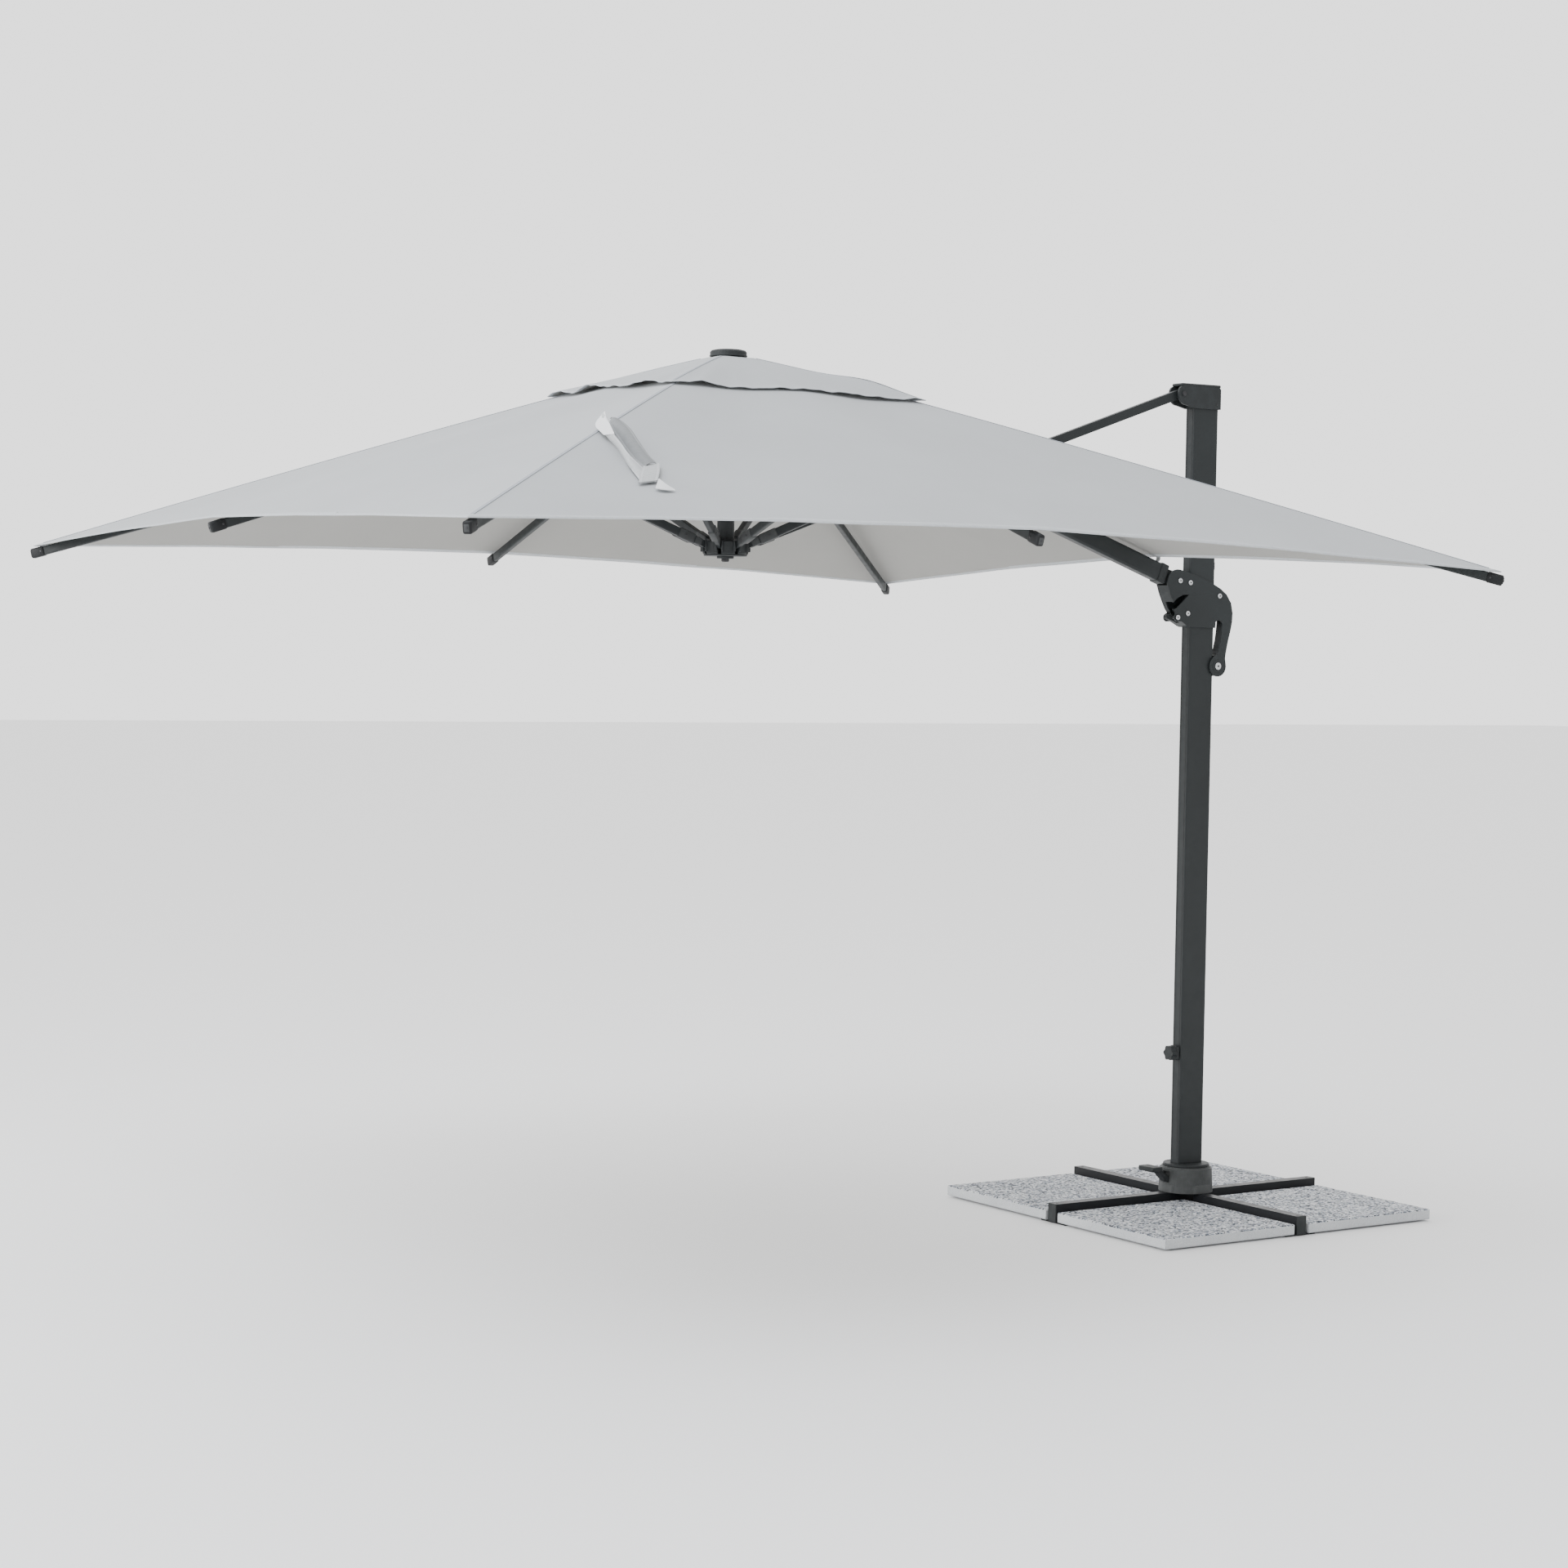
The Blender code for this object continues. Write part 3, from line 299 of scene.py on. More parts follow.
def multiply(mat, a, b):
    node = add(mat, "MixRGB", blend_type="MULTIPLY", Fac=1.0)
    wire(mat, (a, node.inputs["Color1"]), (b, node.inputs["Color2"]))
    return node.outputs["Color"]


def woven(name, colour, glow, weave=620.0):
    """Woven polyester: plain weave along the panel, slight slub and clouds, a little light let through."""
    mat = new_material(name, colour, 0.80)
    shader = shader_of(mat)
    shader.inputs["Specular IOR Level"].default_value = 0.25
    shader.inputs["Sheen Weight"].default_value = 0.10
    shader.inputs["Sheen Roughness"].default_value = 0.5
    threads = []
    for direction in ("X", "Y"):
        wave = add(mat, "TexWave", bands_direction=direction, Scale=weave / 6.2832, Distortion=0.6,
                   Detail=1.0, Detail_Scale=0.4)
        wire(mat, (place(mat, "UV"), wave.inputs["Vector"]))
        threads.append(wave.outputs["Fac"])
    weft = add(mat, "Math", operation="MULTIPLY")
    wire(mat, (threads[0], weft.inputs[0]), (threads[1], weft.inputs[1]))
    cloud = tinted(mat, noise(mat, 2.2, 5.0, 0.6), colour, (0.30, 0.965), (0.70, 1.03))
    slub = ramp(mat, noise(mat, 520.0, 2.0), [(0.25, 0.95), (0.75, 1.04)])
    wire(mat, (multiply(mat, cloud, slub), shader.inputs["Base Color"]))
    soft = bump(mat, noise(mat, 3.2, 4.0, 0.55), 0.20, 0.012)
    wire(mat, (bump(mat, weft.outputs[0], 0.22, 0.0004, soft), shader.inputs["Normal"]))
    through = add(mat, "BsdfTranslucent")
    through.inputs["Color"].default_value = (*(c * 0.98 for c in colour), 1)
    mixed = add(mat, "MixShader", Fac=glow)
    out = mat.node_tree.nodes["Material Output"]
    wire(mat, (shader.outputs["BSDF"], mixed.inputs[1]), (through.outputs["BSDF"], mixed.inputs[2]),
         (mixed.outputs["Shader"], out.inputs["Surface"]))
    return mat


def stitched(name, colour, thread, lines, pitch=0.0042):
    """Folded seam tape with rows of stitches: UV x runs along it in metres and UV y across it, 0 to 1."""
    mat = new_material(name, colour, 0.82)
    shader = shader_of(mat)
    shader.inputs["Specular IOR Level"].default_value = 0.25
    split = add(mat, "SeparateXYZ")
    wire(mat, (place(mat, "UV"), split.inputs["Vector"]))
    turns = add(mat, "Math", operation="MULTIPLY")
    turns.inputs[1].default_value = 1 / pitch
    part = add(mat, "Math", operation="FRACT")
    dash = add(mat, "Math", operation="LESS_THAN")
    dash.inputs[1].default_value = 0.66
    wire(mat, (split.outputs["X"], turns.inputs[0]), (turns.outputs[0], part.inputs[0]),
         (part.outputs[0], dash.inputs[0]))
    rows = None
    for line in lines:
        row = add(mat, "Math", operation="COMPARE")
        row.inputs[1].default_value = line
        row.inputs[2].default_value = 0.045
        wire(mat, (split.outputs["Y"], row.inputs[0]))
        if rows is None:
            rows = row.outputs[0]
        else:
            either = add(mat, "Math", operation="MAXIMUM")
            wire(mat, (rows, either.inputs[0]), (row.outputs[0], either.inputs[1]))
            rows = either.outputs[0]
    stitch = add(mat, "Math", operation="MULTIPLY")
    wire(mat, (rows, stitch.inputs[0]), (dash.outputs[0], stitch.inputs[1]))
    ground = tinted(mat, noise(mat, 90.0, 4.0), colour, (0.3, 0.93), (0.7, 1.05))
    blend = add(mat, "MixRGB")
    blend.inputs["Color2"].default_value = (*thread, 1)
    wire(mat, (stitch.outputs[0], blend.inputs["Fac"]), (ground, blend.inputs["Color1"]),
         (blend.outputs["Color"], shader.inputs["Base Color"]))
    pucker = bump(mat, noise(mat, 170.0, 3.0), 0.35, 0.0012)
    wire(mat, (bump(mat, stitch.outputs[0], 0.6, 0.0006, pucker), shader.inputs["Normal"]))
    return mat


# ---------------------------------------------------------------- mesh helpers

def object_from(name, verts, faces, materials, uvs=None, face_mats=None, smooth=True):
    mesh = bpy.data.meshes.new(name)
    mesh.from_pydata([tuple(v) for v in verts], [], faces)
    mesh.validate()
    for mat in materials:
        mesh.materials.append(mat)
    if uvs:
        layer = mesh.uv_layers.new(name="UVMap")
        for loop in mesh.loops:
            layer.data[loop.index].uv = uvs[loop.vertex_index]
    for index, poly in enumerate(mesh.polygons):
        poly.use_smooth = smooth
        if face_mats:
            poly.material_index = face_mats[index]
    obj = bpy.data.objects.new(name, mesh)
    bpy.context.scene.collection.objects.link(obj)
    return obj


def sharpen_edges(obj, angle=35.0):
    """Marks open and steep edges sharp, so that only the curved faces shade smoothly."""
    bm = bmesh.new()
    bm.from_mesh(obj.data)
    limit = math.radians(angle)
    for edge in bm.edges:
        edge.smooth = len(edge.link_faces) == 2 and edge.calc_face_angle() < limit
    bm.to_mesh(obj.data)
    bm.free()


def face_outwards(obj):
    bm = bmesh.new()
    bm.from_mesh(obj.data)
    bmesh.ops.recalc_face_normals(bm, faces=bm.faces)
    bm.to_mesh(obj.data)
    bm.free()


def frame_at(origin, x_axis, y_axis):
    x_axis = Vector(x_axis).normalized()
    y_axis = Vector(y_axis).normalized()
    turn = Matrix((x_axis, y_axis, x_axis.cross(y_axis))).transposed().to_4x4()
    return Matrix.Translation(Vector(origin)) @ turn


def upright(x, y, z):
    return frame_at((x, y, z), (1, 0, 0), (0, 1, 0))


def box_piece(name, size, frame, mat, bevel=0.002, segments=3):
    bm = bmesh.new()
    bmesh.ops.create_cube(bm, size=1.0)
    bmesh.ops.scale(bm, vec=size, verts=bm.verts)
    if bevel:
        bmesh.ops.bevel(bm, geom=bm.edges, offset=bevel, segments=segments, affect="EDGES", profile=0.5)
    bmesh.ops.transform(bm, matrix=frame, verts=bm.verts)
    return finish_mesh(name, bm, mat)


def disc_piece(name, radius, length, at, axis, mat, bevel=0.0006, sides=28):
    bm = bmesh.new()
    bmesh.ops.create_cone(bm, cap_ends=True, segments=sides, radius1=radius, radius2=radius, depth=length)
    if bevel:
        rims = [e for e in bm.edges if abs(e.verts[0].co.z - e.verts[1].co.z) < 1e-6]
        bmesh.ops.bevel(bm, geom=rims, offset=bevel, segments=3, affect="EDGES", profile=0.5)
    turn = UP.rotation_difference(Vector(axis)).to_matrix().to_4x4()
    bmesh.ops.transform(bm, matrix=Matrix.Translation(Vector(at)) @ turn, verts=bm.verts)
    return finish_mesh(name, bm, mat)


def finish_mesh(name, bm, mat):
    mesh = bpy.data.meshes.new(name)
    bmesh.ops.recalc_face_normals(bm, faces=bm.faces)
    bm.to_mesh(mesh)
    bm.free()
    mesh.materials.append(mat)
    for poly in mesh.polygons:
        poly.use_smooth = True
    obj = bpy.data.objects.new(name, mesh)
    bpy.context.scene.collection.objects.link(obj)
    sharpen_edges(obj, 50.0)
    return obj


def join(name, objects):
    """One object from several; each keeps its own materials."""
    first = objects[0]
    with bpy.context.temp_override(active_object=first, selected_editable_objects=objects):
        bpy.ops.object.join()
    first.name = name
    return first


# ---------------------------------------------------------------- canopy surface

def outward(eighths):
    """Horizontal direction from the hub, in eighths of a turn from the mast's side."""
    angle = eighths * math.pi / 4
    return Vector((math.cos(angle), math.sin(angle), 0))


def along_rib(eighths):
    return outward(round(eighths)).cross(UP)


def rib_end(index):
    """Where the cloth ends on a rib: the point from the hub's axis, with its height."""
    reach = HALF * math.sqrt(2) if index % 2 else MID_OUT
    height = CORNER_Z if index % 2 else MID_Z
    if index % 8 == 0:
        height = MAST_SIDE_Z
    edge = outward(index) * reach
    return edge + UP * (height - LEAN * edge.x)


def between_ribs(eighths):
    """0 on a rib and 1 halfway between two."""
    return math.sin(math.pi * (eighths % 1.0)) ** 2


def eave(eighths):
    index = math.floor(eighths)
    point = rib_end(index).lerp(rib_end(index + 1), eighths - index)
    pull = EAVE_PULL * math.sin(math.pi * (eighths - index))
    flat = Vector((point.x, point.y, 0))
    point -= flat.normalized() * pull
    point.z += pull * 0.55
    return point


def surface(eighths, spread, lift=0.0):
    """Point on the cover's outer face."""
    edge = eave(eighths)
    fall = max(spread - CROWN, 0) / (1 - CROWN)
    z = APEX_Z - (APEX_Z - edge.z) * fall ** BOW
    z -= PANEL_SAG * between_ribs(eighths) * math.sin(math.pi * min(fall, 1)) ** 2
    x = HUB_X + edge.x * spread
    y = edge.y * spread
    creases = math.sin(9.0 * x + 5.0 * y) + math.sin(7.0 * y - 4.0 * x + 1.3) + math.sin(17 * x - 11 * y)
    z += 0.0006 * creases * between_ribs(eighths)
    return Vector((x, y, z + lift))


def flap_lift(eighths, spread):
    """How far the vent flap stands off the cover: little on the ribs, more in its loose waves."""
    waves = ((3.70, 0.015, 0.17), (4.60, 0.013, 0.20), (5.22, 0.008, 0.13), (6.46, 0.006, 0.24),
             (6.95, 0.004, 0.10), (0.55, 0.018, 0.20), (1.45, 0.016, 0.20), (2.50, 0.022, 0.22),
             (3.20, 0.012, 0.13), (7.45, 0.010, 0.20))
    share = max(spread - CROWN, 0) / (FLAP - CROWN)
    lift = 0.004 + 0.005 * share
    for at, height, width in waves:
        away = (eighths - at + 4) % 8 - 4
        lift += height * math.exp(-(away / width) ** 2) * share ** 2.2
    away = (eighths - 7.15 + 4) % 8 - 4
    lift += 0.019 * math.exp(-(away / 0.30) ** 2 - ((share - 0.68) / 0.20) ** 2)
    ripple = math.sin(eighths * 23.0) + math.sin(eighths * 41.0 + 1.0)
    return lift + 0.0012 * ripple * share ** 3


def flap_height(eighths, spread):
    """Point on the vent flap, which hangs a little longer on the near side."""
    share = max(spread - CROWN, 0) / (FLAP - CROWN)
    longer = 1 - 0.045 * share * math.sin(eighths * math.pi / 4)
    return surface(eighths, spread * longer, flap_lift(eighths, spread))


def columns(half_width=0.5, count=13):
    """Offsets from the rib, closer together near it so that the ridge stays crisp."""
    near = [0.0, 0.004, 0.012]
    steps = [0.012 + (half_width - 0.012) * (i / (count - 3)) ** 1.15 for i in range(1, count - 2)]
    side = near + steps
    return [-s for s in reversed(side[1:])] + side


def rings(inner, outer, count, extra=()):
    steps = [inner + (outer - inner) * i / count for i in range(count + 1)]
    near = [s for s in steps if all(abs(s - e) > 0.3 * (outer - inner) / count for e in extra)]
    return sorted(near + list(extra))


def kite_sheet(name, index, spreads, height, materials, slit=False):
    """One kite of cloth about its rib, as a single skin that Solidify thickens."""
    offsets = columns()
    middle = len(offsets) // 2
    verts = []
    uvs = []
    side = along_rib(index)
    out = outward(index)
    for spread in spreads:
        for column, offset in enumerate(offsets):
            if slit and abs(column - middle) >= 3:
                first = SLIT_HALF / (HALF * max(spread, 0.16))
                share = (abs(column - middle) - 3) / (middle - 3)
                offset = math.copysign(first + (0.5 - first) * share ** 1.15, column - middle)
            point = height(index + offset, spread)
            verts.append(point)
            local = point - HUB
            uvs.append((local.dot(side), local.dot(out)))
    wide = len(offsets)
    faces = []
    for row in range(len(spreads) - 1):
        for column in range(wide - 1):
            inside = slit and abs(column + 0.5 - middle) < 3
            if inside and SLIT[0] - 1e-6 < spreads[row] < SLIT[1] - 1e-6:
                continue
            a = row * wide + column
            faces.append((a, a + wide, a + wide + 1, a + 1))
    obj = object_from(name, verts, faces, materials, uvs)
    if obj.data.polygons[0].normal.z < 0:
        obj.data.flip_normals()
    sharpen_edges(obj, 60.0)
    solid = obj.modifiers.new("thickness", "SOLIDIFY")
    solid.thickness = CLOTH
    solid.offset = -1
    solid.material_offset = 1
    solid.material_offset_rim = 0
    return obj


def tube_faces(count, sides):
    """Faces of a closed tube: rings of points in order, with a flat end on each."""
    faces = []
    for i in range(count - 1):
        for j in range(sides):
            a = i * sides + j
            b = i * sides + (j + 1) % sides
            faces.append((a, b, b + sides, a + sides))
    faces.append(tuple(range(sides)))
    faces.append(tuple(reversed(range((count - 1) * sides, count * sides))))
    return faces


def band(name, path, half, low, high, materials):
    """A flat closed tape along a path of (point, across) pairs, from low to high off the cloth."""
    verts = []
    uvs = []
    length = 0.0
    for i, (point, across) in enumerate(path):
        if i:
            length += (point - path[i - 1][0]).length
        for share, height in ((-1, low), (-0.94, high), (0, high * 1.1), (0.94, high), (1, low), (0, low)):
            verts.append(point + across * half * share + UP * height)
            uvs.append((length, 0.5 + 0.5 * share))
    obj = object_from(name, verts, tube_faces(len(path), 6), materials, uvs)
    face_outwards(obj)
    sharpen_edges(obj, 40.0)
    return obj


def surface_normal(eighths, spread, height):
    step = 0.004
    a = height(eighths + step, spread) - height(eighths - step, spread)
    b = height(eighths, min(spread + step, 1.0)) - height(eighths, spread - step)
    normal = b.cross(a)
    return normal.normalized() if normal.z > 0 else -normal.normalized()


def ridge_tape(name, index, start, end, height, mat, half=0.0045):
    """The felled seam that runs down the cloth over a rib."""
    steps = 46
    side = along_rib(index)
    path = []
    for i in range(steps + 1):
        spread = start + (end - start) * i / steps
        path.append((height(index, spread), side))
    return band(name, path, half, -0.0004, 0.0010, [mat])


def hem_tape(name, index, spread, height, mat, width=HEM, rise=0.0009):
    """The folded hem along a kite's outer edge: a flat tube that wraps the cloth's edge."""
    offsets = columns()
    verts = []
    uvs = []
    length = 0.0
    last = None
    reach = (height(index, spread) - HUB).to_2d().length
    inner = spread * (1 - width / reach)
    for offset in offsets:
        edge_point = height(index + offset, spread)
        in_point = height(index + offset, inner)
        if last is not None:
            length += (edge_point - last).length
        last = edge_point
        along = (edge_point - in_point).normalized()
        up = surface_normal(index + offset, inner, height)
        ring = ((in_point, rise * 0.2), (in_point + along * 0.001, rise), (edge_point, rise),
                (edge_point + along * 0.0012, -0.3 * CLOTH), (edge_point, -CLOTH - rise),
                (in_point + along * 0.001, -CLOTH - rise), (in_point, -CLOTH - rise * 0.2))
        across = (1.0, 0.95, 0.05, 0.0, 0.05, 0.95, 1.0)
        for (point, off), v in zip(ring, across):
            verts.append(point + up * off)
            uvs.append((length, v))
    obj = object_from(name, verts, tube_faces(len(offsets), 7), [mat], uvs)
    face_outwards(obj)
    sharpen_edges(obj, 60.0)
    return obj


# ---------------------------------------------------------------- canopy

def rib_body(index):
    return "arm" if index == 0 else "rib_" + WORDS[index]


def gather(obj, index):
    """obj rides on its rib, with a mesh of its own."""
    body = rib_body(index)
    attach(obj, body)
    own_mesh(obj)
    return obj


def make_canopy(mats):
    spreads = rings(OPENING, 1.0, 40, SLIT)
    flap_spreads = rings(CROWN * 1.03, FLAP, 14)
    # The second skin, on the inner shell, carries the underside's painted shade.
    skins = [mats["cloth"], mats["cloth_under_shaded"]]
    for index, word in WORDS.items():
        cover = kite_sheet("canopy_" + word, index, spreads, surface, skins, slit=index == 0)
        trims = [hem_tape("hem_" + word, index, 1.0, surface, mats["hem"])]
        if index % 2:
            # The ridge tape's darker colour is painted shade along the ridge.
            trims.append(ridge_tape("ridge_" + word, index, OPENING, 0.985, surface, mats["seam"]))
        if index == 0:
            trims += slit_binding(mats["seam"])
        tall = (surface(index, 1.0) - surface(index, OPENING)).length
        declare_kite(cover, "canopy_cover", join("canopy_seams_" + word, trims), index)

        flap = kite_sheet("vent_flap_" + word, index, flap_spreads, flap_height, skins)
        edges = [hem_tape("flap_hem_" + word, index, FLAP, flap_height, mats["hem"], 0.014, 0.0006)]
        if index % 2:
            edges.append(ridge_tape("flap_ridge_" + word, index, 0.038, FLAP - 0.012, flap_height,
                                    mats["seam"], 0.0035))
        tall = (flap_height(index, FLAP) - flap_height(index, CROWN)).length
        declare_kite(flap, "vent_flap", join("vent_flap_hem_" + word, edges), index)


def declare_kite(kite, node, trim, index):
    """A kite in place of its CAD node, riding with its trim on its rib; the node is hidden."""
    gather(trim, index)
    gather(kite, index)
    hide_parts(node)


def slit_binding(mat):
    """Bound edges of the slit that the tie rod comes through."""
    made = []
    for sign in (-1, 1):
        path = []
        for i in range(9):
            spread = SLIT[0] + (SLIT[1] - SLIT[0]) * i / 8
            point = surface(sign * SLIT_HALF / (HALF * spread), spread)
            path.append((point, Vector((0, 1, 0))))
        made.append(band(f"slit_side_{sign}", path, 0.006, -0.0022, 0.0012, [mat]))
    for spread in SLIT:
        path = []
        for i in range(5):
            across = -SLIT_HALF - 0.006 + (2 * SLIT_HALF + 0.012) * i / 4
            path.append((surface(across / (HALF * spread), spread), Vector((1, 0, -0.33)).normalized()))
        made.append(band(f"slit_end_{spread:.2f}", path, 0.006, -0.0024, 0.0014, [mat]))
    return made


# ---------------------------------------------------------------- tying strap

def ribbon(name, rail_a, rail_b, mats, rows=40, cells=6, cup=0.0, thick=0.0011):
    """A cloth band between two smooth rails, slightly cupped across."""
    left = smooth_line(rail_a, rows)
    right = smooth_line(rail_b, rows)
    verts = []
    uvs = []
    length = 0.0
    for i in range(rows + 1):
        if i:
            length += ((left[i] + right[i]) / 2 - (left[i - 1] + right[i - 1]) / 2).length
        across = right[i] - left[i]
        ahead = left[min(i + 1, rows)] - left[max(i - 1, 0)]
        face = ahead.cross(across).normalized()
        for j in range(cells + 1):
            t = j / cells
            verts.append(left[i] + across * t + face * cup * math.sin(math.pi * t))
            uvs.append((length, t))
    wide = cells + 1
    faces = [(i * wide + j, i * wide + j + 1, (i + 1) * wide + j + 1, (i + 1) * wide + j)
             for i in range(rows) for j in range(cells)]
    obj = object_from(name, verts, faces, mats, uvs)
    sharpen_edges(obj, 75.0)
    solid = obj.modifiers.new("thickness", "SOLIDIFY")
    solid.thickness = thick
    solid.offset = 0
    with bpy.context.temp_override(object=obj, active_object=obj, selected_objects=[obj]):
        bpy.ops.object.modifier_apply(modifier=solid.name)
    return obj


def smooth_line(points, count):
    """Evenly spaced points on a Catmull-Rom curve through the given ones."""
    points = [Vector(p) for p in points]
    fine = []
    for i in range(len(points) - 1):
        before = points[i - 1] if i else points[0] * 2 - points[1]
        after = points[i + 2] if i + 2 < len(points) else points[-1] * 2 - points[-2]
        a, b = points[i], points[i + 1]
        for step in range(24):
            t = step / 24
            fine.append(0.5 * ((2 * a) + (b - before) * t + (2 * before - 5 * a + 4 * b - after) * t * t
                               + (3 * a - before - 3 * b + after) * t ** 3))
    fine.append(points[-1])
    total = [0.0]
    for a, b in zip(fine, fine[1:]):
        total.append(total[-1] + (b - a).length)
    made = []
    at = 0
    for i in range(count + 1):
        want = total[-1] * i / count
        while at < len(fine) - 2 and total[at + 1] < want:
            at += 1
        gap = total[at + 1] - total[at]
        made.append(fine[at].lerp(fine[at + 1], (want - total[at]) / gap if gap else 0))
    return made


def on_cover(x, y, off=0.0):
    """Point on the cover above x, y, lifted off it."""
    dx, dy = x - HUB_X, y
    eighths = (math.atan2(dy, dx) / (math.pi / 4)) % 8
    index = math.floor(eighths)
    a, b = rib_end(index), rib_end(index + 1)
    cross = a.x * b.y - a.y * b.x
    p = (dx * b.y - dy * b.x) / cross
    q = (a.x * dy - a.y * dx) / cross
    spread = p + q
    share = index + q / spread
    for _ in range(3):
        found = surface(share, spread)
        spread *= math.hypot(dx, dy) / math.hypot(found.x - HUB_X, found.y)
    point = surface(share, spread)
    return point + surface_normal(share, min(spread, 0.99), surface) * off


def make_strap(mats):
    """Doubled strap sewn into the near outer ridge: one leg on edge, one bowed up, joined by a square
    stitched patch that ends in a folded point."""
    # The bowed leg is drawn in the strap's painted-shade colour.
    parts = (("leg_a", "strap", {"cup": 0.004}), ("leg_b", "strap_shaded", {"cup": 0.010}),
             ("patch", "strap", {"rows": 10, "thick": 0.004}),
             ("point", "strap_pale", {"rows": 8, "thick": 0.002}),
             ("root", "strap_pale", {"rows": 12, "thick": 0.002}))
    made = []
    for name, mat, shape in parts:
        left, right = ([on_cover(*spot) for spot in edge] for edge in STRAP_ROWS[name])
        made.append(ribbon("strap_" + name, left, right, [mats[mat]], **shape))
    strap = join("tie_strap_webbing", made)
    gather(strap, 5)
    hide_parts("tie_strap")
    return strap


# ---------------------------------------------------------------- ribs, struts and hubs

def rib_line(index):
    """Hinge and tip of a rib's centre line."""
    out = outward(index)
    setback = 0.020 if index % 2 else 0.024
    return HUB + out * HINGE_R + UP * RIB_HINGE_Z, HUB + rib_end(index) - out * setback - UP * RIB_DROP


def strut_line(index):
    """Hinge under the rib and foot at the runner."""
    foot = HUB + outward(index) * HINGE_R + UP * RUNNER_HINGE_Z
    if index == 0:
        along = (HUB_PIVOT - SLIDER_PIVOT).normalized()
        below = Vector((0, 1, 0)).cross(along)
        if below.z > 0:
            below = -below
        reach = (HUB_PIVOT - SLIDER_PIVOT).length - ARM_STRUT_AT
        return SLIDER_PIVOT + along * reach + below * (ARM_HALF + 0.013), foot
    slope = rib_slope(index)
    reach = strut_reach(index)
    top = HUB + outward(index) * (HINGE_R + reach * math.cos(slope))
    return top + UP * (RIB_HINGE_Z - reach * math.sin(slope)), foot


def rib_slope(index):
    hinge, tip = rib_line(index)
    run = (tip - hinge).to_2d().length
    return math.atan2(hinge.z - tip.z, run) + math.asin(LUG_DROP / LUG_REACH)


def strut_reach(index):
    drop = RIB_HINGE_Z - RUNNER_HINGE_Z
    total = drop / math.sin(rib_slope(4))
    return (total ** 2 - drop ** 2) / (2 * (total - drop * math.sin(rib_slope(index))))


def rib_tip_cap(index, mats):
    """Plastic cap on a rib's end: a socket round the tube, a blunt nose and a small fixing screw."""
    hinge, tip = rib_line(index)
    along = (tip - hinge).normalized()
    side = along_rib(index)
    name = WORDS[index]
    centre = tip + along * (0.004 if index % 2 else 0.010)
    level = frame_at(centre, side, along.cross(side))
    socket = box_piece("tip_" + name, (RIB_WIDTH + 0.006, RIB_HEIGHT + 0.003, 0.044), level,
                       mats["cap"], 0.0052, 3)
    face = box_piece("tip_face_" + name, (RIB_WIDTH - 0.004, RIB_HEIGHT - 0.009, 0.002),
                     Matrix.Translation(along * 0.0225) @ level, mats["plastic_grey"], 0.0009, 2)
    screw = disc_piece("tip_screw_" + name, 0.0034, 0.0016, centre + along * 0.0240, along,
                       mats["dark_steel"], 0.0005, 20)
    side_screw = disc_piece("tip_rivet_" + name, 0.0028, RIB_WIDTH + 0.0076, centre - along * 0.012, side,
                            mats["dark_steel"], 0.0005, 18)
    cap = join("rib_cap_" + name, [socket, face, screw, side_screw])
    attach(cap, "rib_" + name)


def rib_bracket(index, mats):
    """Riveted saddle on the rib with the pin that its strut swings on."""
    top = strut_line(index)[0]
    name = WORDS[index]
    side = along_rib(index)
    hinge, tip = rib_line(index) if index else (HUB_PIVOT, SLIDER_PIVOT)
    along = (tip - hinge).normalized()
    above = along.cross(side)
    if above.z < 0:
        above = -above
    cheeks = []
    for sign in (-1, 1):
        cheeks.append(box_piece(f"lug_{name}_{sign}", (0.030, 0.030, 0.0016),
                                frame_at(top + above * 0.006 + side * sign * (RIB_WIDTH / 2 + 0.0012),
                                         along, above),
                                mats["frame"], 0.0007, 2))
    pin = disc_piece("lug_pin_" + name, 0.0032, RIB_WIDTH + 0.010, top, side, mats["steel"], 0.0008, 20)
    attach(join("strut_bracket_" + name, cheeks + [pin]), rib_body(index))


def strut_sleeve(index, mats):
    """Moulded end piece on a strut's foot, a size larger than the tube."""
    top, foot = strut_line(index)
    name = WORDS[index]
    along = (foot - top).normalized()
    side = along_rib(index)
    across = along.cross(side)
    sleeve = box_piece("sleeve_a_" + name, (STRUT_HEIGHT + 0.004, RIB_WIDTH + 0.004, 0.052),
                       frame_at(foot - along * 0.074, across, side), mats["plastic_grey"], 0.0032, 3)
    taper = box_piece("sleeve_b_" + name, (STRUT_HEIGHT - 0.003, 0.0125, 0.030),
                      frame_at(foot - along * 0.036, across, side), mats["plastic_grey"], 0.0025, 3)
    rivet = disc_piece("sleeve_rivet_" + name, 0.0030, RIB_WIDTH + 0.0062, foot - along * 0.078, side,
                       mats["dark_steel"], 0.0006, 18)
    tip = box_piece("strut_top_" + name, (STRUT_HEIGHT + 0.002, RIB_WIDTH + 0.0012, 0.020),
                    frame_at(top + along * 0.062, across, side), mats["plastic"], 0.0022, 2)
    piece = join("strut_end_" + name, [sleeve, taper, rivet, tip])
    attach(piece, "strut_" + name)


